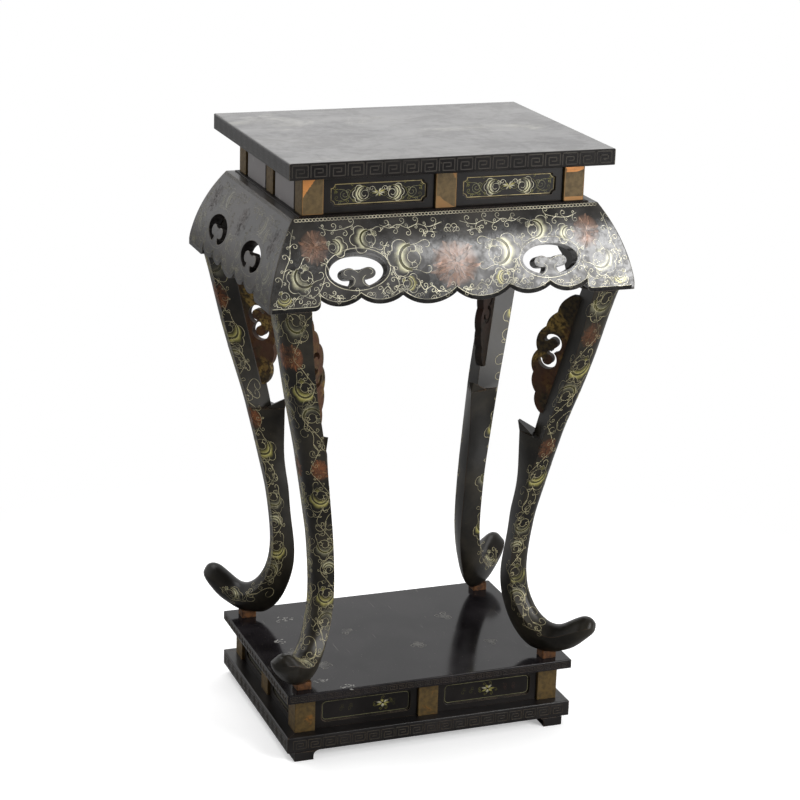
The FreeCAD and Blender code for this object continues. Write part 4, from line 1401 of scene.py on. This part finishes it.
def repeat_tree():
    """Geometry nodes that set one unit many times along a straight line."""
    tree = bpy.data.node_groups.new("units_along_an_edge", "GeometryNodeTree")
    tree.interface.new_socket("Geometry", in_out="INPUT", socket_type="NodeSocketGeometry")
    kinds = {"First": "Vector", "Last": "Vector", "Count": "Int", "Turn": "Vector", "Unit": "Object",
             "Finish": "Material"}
    for name, kind in kinds.items():
        tree.interface.new_socket(name, in_out="INPUT", socket_type="NodeSocket" + kind)
    tree.interface.new_socket("Geometry", in_out="OUTPUT", socket_type="NodeSocketGeometry")
    given = add(tree, "NodeGroupInput").outputs
    places = add(tree, "GeometryNodeMeshLine", {"mode": "END_POINTS", "count_mode": "TOTAL"},
                 Count=given["Count"], Start_Location=given["First"], Offset=given["Last"])
    unit = add(tree, "GeometryNodeObjectInfo", Object=given["Unit"])
    turn = add(tree, "FunctionNodeEulerToRotation", Euler=given["Turn"])
    set_out = add(tree, "GeometryNodeInstanceOnPoints", Points=places.outputs["Mesh"],
                  Instance=unit.outputs["Geometry"], Rotation=turn.outputs["Rotation"])
    real = add(tree, "GeometryNodeRealizeInstances", Geometry=set_out.outputs["Instances"])
    finish = add(tree, "GeometryNodeSetMaterial", Geometry=real.outputs["Geometry"], Material=given["Finish"])
    add(tree, "NodeGroupOutput", Geometry=finish.outputs["Geometry"])
    return tree


REPEAT = repeat_tree()
REPEAT_INPUTS = {item.name: item.identifier for item in REPEAT.interface.items_tree if item.in_out == "INPUT"}


def repeated(unit_mesh, first, last, count, turn, material):
    """A plain mesh of the unit set along a line."""
    unit = new_object("border_unit", unit_mesh)
    host = new_object("border_host", bpy.data.meshes.new("border_host"))
    nodes = host.modifiers.new("units", "NODES")
    nodes.node_group = REPEAT
    values = {"First": first, "Last": last, "Count": count, "Turn": turn, "Unit": unit,
              "Finish": MATERIALS[material]}
    for name, value in values.items():
        nodes[REPEAT_INPUTS[name]] = value
    graph = bpy.context.evaluated_depsgraph_get()
    graph.update()
    mesh = bpy.data.meshes.new_from_object(host.evaluated_get(graph))
    host.modifiers.clear()
    bpy.data.objects.remove(host)
    bpy.data.objects.remove(unit)
    return mesh


def mesh_of(shape, name):
    """A new mesh of the shape, which is then let go."""
    made = bpy.data.meshes.new(name)
    shape.to_mesh(made)
    shape.free()
    return made


def joined(name, meshes):
    """One mesh of several, which are then let go."""
    shape = bmesh.new()
    for mesh in meshes:
        shape.from_mesh(mesh)
        bpy.data.meshes.remove(mesh)
    return mesh_of(shape, name)


def raised_bars(path, width, height):
    """Flat bars with sloping sides along a path of straight runs, drawn in X and Z and raised towards -Y."""
    shape = bmesh.new()
    slope = 0.25 * width
    for (x0, z0), (x1, z1) in zip(path, path[1:]):
        ahead = Vector((x1 - x0, z1 - z0)).normalized()
        side = Vector((-ahead.y, ahead.x))
        ends = (Vector((x0, z0)) - ahead * width / 2, Vector((x1, z1)) + ahead * width / 2)
        foot = []
        crest = []
        for end, sign in ((ends[0], 1), (ends[1], -1)):
            for way in ((-1, 1) if sign > 0 else (1, -1)):
                low = end + side * (way * width / 2)
                top = end + ahead * (sign * slope) + side * (way * (width / 2 - slope))
                foot.append(shape.verts.new((low.x * MM, 0.05 * MM, low.y * MM)))
                crest.append(shape.verts.new((top.x * MM, -height * MM, top.y * MM)))
        shape.faces.new(crest)
        for i in range(4):
            j = (i + 1) % 4
            shape.faces.new((foot[i], foot[j], crest[j], crest[i]))
    bmesh.ops.recalc_face_normals(shape, faces=shape.faces)
    for face in shape.faces:
        if face.normal.y > 0:
            face.normal_flip()
    return mesh_of(shape, "raised_bars")


def fret_unit(width, height, bar, rise):
    """One square spiral of a fret."""
    left = -width / 2 + bar / 2
    right = width / 2 - 1.7 * bar
    low = -height / 2 + bar / 2
    high = height / 2 - bar / 2
    step = (high - low) / 3
    path = [(left, low), (left, high), (right, high), (right, low), (left + step, low),
            (left + step, high - step), (right - step, high - step), (right - step, low + step),
            (left + 1.9 * step, low + step)]
    return raised_bars(path, bar, rise)


def chain_unit(length, height, bar):
    """One ring of a chain border."""
    turns = [2 * math.pi * i / 10 for i in range(11)]
    path = [(length / 2 * math.cos(a), height / 2 * math.sin(a)) for a in turns]
    return raised_bars(path, bar, LINE_RAISE)


FRET_RISE = 0.3              # of the bars of a fret from the edge of a slab
WORN_FRET_RISE = 0.08
FRET_MARGIN = 4.0            # least length of a slab's edge left without a fret
# pitch, height and width of the bars, lift over the middle of the edge, finish, finish and rise at the ends
FRETS = {
    "top": (23.6, 16.0, 1.6, 0.6, "fret", "slab_end", WORN_FRET_RISE),
    "shelf": (12.4, 7.4, 0.85, 0.0, "low_fret", "low_fret", FRET_RISE),
    "bottom": (20.4, 13.0, 1.25, 0.0, "low_fret", "low_fret", FRET_RISE),
}


def edge_fret(slab, pitch, height, bar, lift, material, end_material, end_rise):
    """Frets along the four edges of a slab, the two ends with their own finish and rise."""
    kinds = {"_fret": (material, FRET_RISE, []), "_fret_ends": (end_material, end_rise, [])}
    for side, degrees in SIDES.items():
        node = slab + "_rail_" + side
        low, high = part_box(node)
        finish, rise, meshes = kinds["_fret" if side in LONG_SIDES else "_fret_ends"]
        length = max(high.x - low.x, high.y - low.y)
        count = int((length / MM - FRET_MARGIN) / pitch)
        reach = (count - 1) * pitch / 2 * MM
        z = (low.z + high.z) / 2 + lift * MM
        ends = [side_turn(side) @ Vector((sign * reach, -side_out(node, side), z)) for sign in (-1, 1)]
        meshes.append(repeated(fret_unit(pitch, height, bar, rise), *ends, count,
                               (0.0, 0.0, math.radians(degrees)), finish))
    for ending, (finish, rise, meshes) in kinds.items():
        set_down(slab + ending, joined(slab + ending, meshes), finish)


CHAIN_RING = (5.4, 3.6, 0.8)     # length, height and width of the bar
CHAIN_PITCH = 4.5
CHAIN_DROP = 2.4             # below the upper edge of the apron
CHAIN_END = 5.0              # from the end of the upper edge


def apron_chains():
    """A fine gold chain along the upper edge of each apron, duller on the two ends."""
    meshes = {"chain": [], "end_chain": []}
    for side in SIDES:
        face = APRONS[side]
        metal = "chain" if side in LONG_SIDES else "end_chain"
        reach = face.half - APRON_OVERHANG - CHAIN_END
        (first, normal), (last, _) = [face(sign * reach, face.length - CHAIN_DROP) for sign in (-1, 1)]
        lean = (side_turn(side) @ Matrix.Rotation(-math.asin(normal.z), 3, "X")).to_euler()
        count = int(2 * reach / CHAIN_PITCH)
        meshes[metal].append(repeated(chain_unit(*CHAIN_RING), first, last, count, tuple(lean), metal))
    for metal, rows in meshes.items():
        set_down("apron_" + metal, joined("apron_" + metal, rows), metal)


CHIP = rgb(186, 184, 178)
# place and size
SHELF_FLOWERS = ((-150, -20, 17), (-128, -66, 14), (-60, 30, 12), (20, -40, 12), (90, 40, 13), (120, -60, 10))
SHELF_CHIPS = ((-132.0, 93.0, 15.0), (-160.0, 22.0, 10.0), (-146.0, -112.0, 9.0), (-118.0, -141.0, 11.0))


def paint_shelf():
    """Faded flowers with curls, and chips, on the shelf."""
    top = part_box("shelf_panel")[1].z
    painter = Painter(flat_face((0.0, 0.0, top), (1.0, 0.0, 0.0), (0.0, 1.0, 0.0)), 0.6)
    dice = random.Random(17)
    for x, y, size in SHELF_FLOWERS:
        for k in range(6):
            a = 2 * math.pi * k / 6 + dice.uniform(-0.3, 0.3)
            reach = size * dice.uniform(0.5, 1.0)
            tendril(painter, (x + 0.3 * reach * math.cos(a), y + 0.3 * reach * math.sin(a)), a, 0.5 * reach,
                    dice.choice((-1, 1)), FADED, 0.8)
        rings = []
        for j in range(5):
            row = []
            for i in range(17):
                a = 2 * math.pi * i / 16
                r = size * 0.7 * j / 4 * (1 + 0.25 * math.sin(5 * a + x))
                row.append((x + r * math.cos(a), y + r * math.sin(a), 0.55 * (1 - j / 4)))
            rings.append(row)
        painter.wash(rings, FADED)
    for x, y, reach in SHELF_CHIPS:
        for k in range(12):
            a = dice.uniform(0.0, 2 * math.pi)
            out = reach * math.sqrt(dice.uniform(0.0, 1.0))
            spot = (x + out * math.cos(a), y + 0.7 * out * math.sin(a))
            flake = curve(spot, dice.uniform(-0.6, 0.9), dice.uniform(2.0, 7.0), 0.0, dice.uniform(-1.0, 1.0))
            painter.line(flake, dice.uniform(1.2, 3.2), CHIP, dice.uniform(0.7, 1.0))
    painter.gather("shelf_flowers", "shelf_paint")


APRONS = {side: ApronFace(side) for side in SIDES}
finish_all()
paint_aprons()
paint_legs()
paint_panels()
paint_posts()
paint_shelf()
for slab_name, fret in FRETS.items():
    edge_fret(slab_name, *fret)
apron_chains()


# floor, light and camera

FLOOR_HALF = 9.0
FLOOR_WHITE = (0.35, 0.95)   # distances from the middle over which the floor turns to plain white


def studio_floor():
    """Pale floor that keeps the shadow by the stand and runs out to plain white for the camera."""
    material, tree, shader = new_material("studio_floor")
    shader.inputs["Roughness"].default_value = 0.9
    shader.inputs["Specular IOR Level"].default_value = 0.1
    place = object_place(tree)
    away = add(tree, "ShaderNodeVectorMath", {"operation": "LENGTH"}, Vector=place)
    far = spread(tree, away.outputs["Value"], *FLOOR_WHITE)
    seen = add(tree, "ShaderNodeLightPath").outputs["Is Camera Ray"]
    pale = blended(tree, seen, (0.38, 0.38, 0.38, 1.0), (0.93, 0.93, 0.93, 1.0))
    tree.links.new(pale, shader.inputs["Base Color"])
    white = add(tree, "ShaderNodeEmission")
    shown = add(tree, "ShaderNodeMixShader")
    tree.links.new(times(tree, far, seen), shown.inputs[0])
    tree.links.new(shader.outputs[0], shown.inputs[1])
    tree.links.new(white.outputs[0], shown.inputs[2])
    tree.links.new(shown.outputs[0], tree.nodes["Material Output"].inputs["Surface"])
    shader.inputs["Emission Color"].default_value = (1.0, 1.0, 1.0, 1.0)
    tree.links.new(times(tree, seen, 0.34), shader.inputs["Emission Strength"])
    mesh = bpy.data.meshes.new("studio_floor")
    corners = [(x * FLOOR_HALF, y * FLOOR_HALF, 0.0) for x, y in ((-1, -1), (1, -1), (1, 1), (-1, 1))]
    mesh.from_pydata(corners, [], [(0, 1, 2, 3)])
    mesh.materials.append(material)
    new_object("studio_floor", mesh)


def studio_world():
    """White all round for the camera; for light and reflections, darker on the side of the camera."""
    world = bpy.data.worlds.new("studio")
    bpy.context.scene.world = world
    world.use_nodes = True
    tree = world.node_tree
    shade = tree.nodes["Background"]
    way = add(tree, "ShaderNodeTexCoord").outputs["Generated"]
    parts = add(tree, "ShaderNodeSeparateXYZ", Vector=way)
    behind = spread(tree, parts.outputs["Y"], -0.5, 0.25, 0.14, 1.0)
    left = spread(tree, parts.outputs["X"], -0.15, -0.6, 1.0, 1.35)
    path = add(tree, "ShaderNodeLightPath")
    seen = path.outputs["Is Camera Ray"]
    clear = path.outputs["Is Transmission Ray"]
    white = sums(tree, "MAXIMUM", seen, clear)
    gloss = times(tree, path.outputs["Is Glossy Ray"], 0.05)
    level = plus(tree, times(tree, behind, left), gloss)
    tree.links.new(sums(tree, "MAXIMUM", white, level), shade.inputs["Strength"])
    shade.inputs["Color"].default_value = (1.0, 1.0, 1.0, 1.0)


def softbox(name, place, aim, size, power):
    """A rectangle of light at a place, turned to what it lights."""
    lamp = bpy.data.lights.new(name, "AREA")
    lamp.shape = "RECTANGLE"
    lamp.size = size[0]
    lamp.size_y = size[1]
    lamp.energy = power
    box = new_object(name, lamp)
    box.location = place
    box.rotation_euler = (Vector(aim) - Vector(place)).to_track_quat("-Z", "Y").to_euler()


# the photograph's camera, found from the corners of the stand: turn, height and roll in degrees, the point it
# looks at and the distance to it in metres, and the focal length on a 36 mm sensor
CAMERA_ANGLES = (20.954, 17.891, 1.782)
CAMERA_TARGET = (-0.002344, 0.0, 0.435454)
CAMERA_DISTANCE = 3.045739
CAMERA_LENS = 102.6


def photo_camera():
    """The camera that took the photograph."""
    turn, height, roll = (math.radians(degrees) for degrees in CAMERA_ANGLES)
    back = Vector((-math.sin(turn) * math.cos(height), -math.cos(turn) * math.cos(height), math.sin(height)))
    level = Vector((math.cos(turn), -math.sin(turn), 0.0))
    upright = back.cross(level)
    right = level * math.cos(roll) + upright * math.sin(roll)
    up = upright * math.cos(roll) - level * math.sin(roll)
    data = bpy.data.cameras.new("photo_camera")
    data.sensor_width = 36.0
    data.lens = CAMERA_LENS
    data.clip_end = 60.0
    camera = new_object("photo_camera", data)
    place = Matrix((right, up, back)).transposed().to_4x4()
    place.translation = Vector(CAMERA_TARGET) + back * CAMERA_DISTANCE
    camera.matrix_world = place
    bpy.context.scene.camera = camera


studio_floor()
studio_world()
softbox("key_softbox", (1.40, -2.0, 1.18), (0.0, -0.1, 0.70), (1.1, 1.9), 66.0)
softbox("top_softbox", (-0.3, 0.6, 2.3), (0.0, 0.0, 0.5), (1.6, 1.2), 18.0)
photo_camera()
bpy.context.scene.view_settings.view_transform = "Standard"
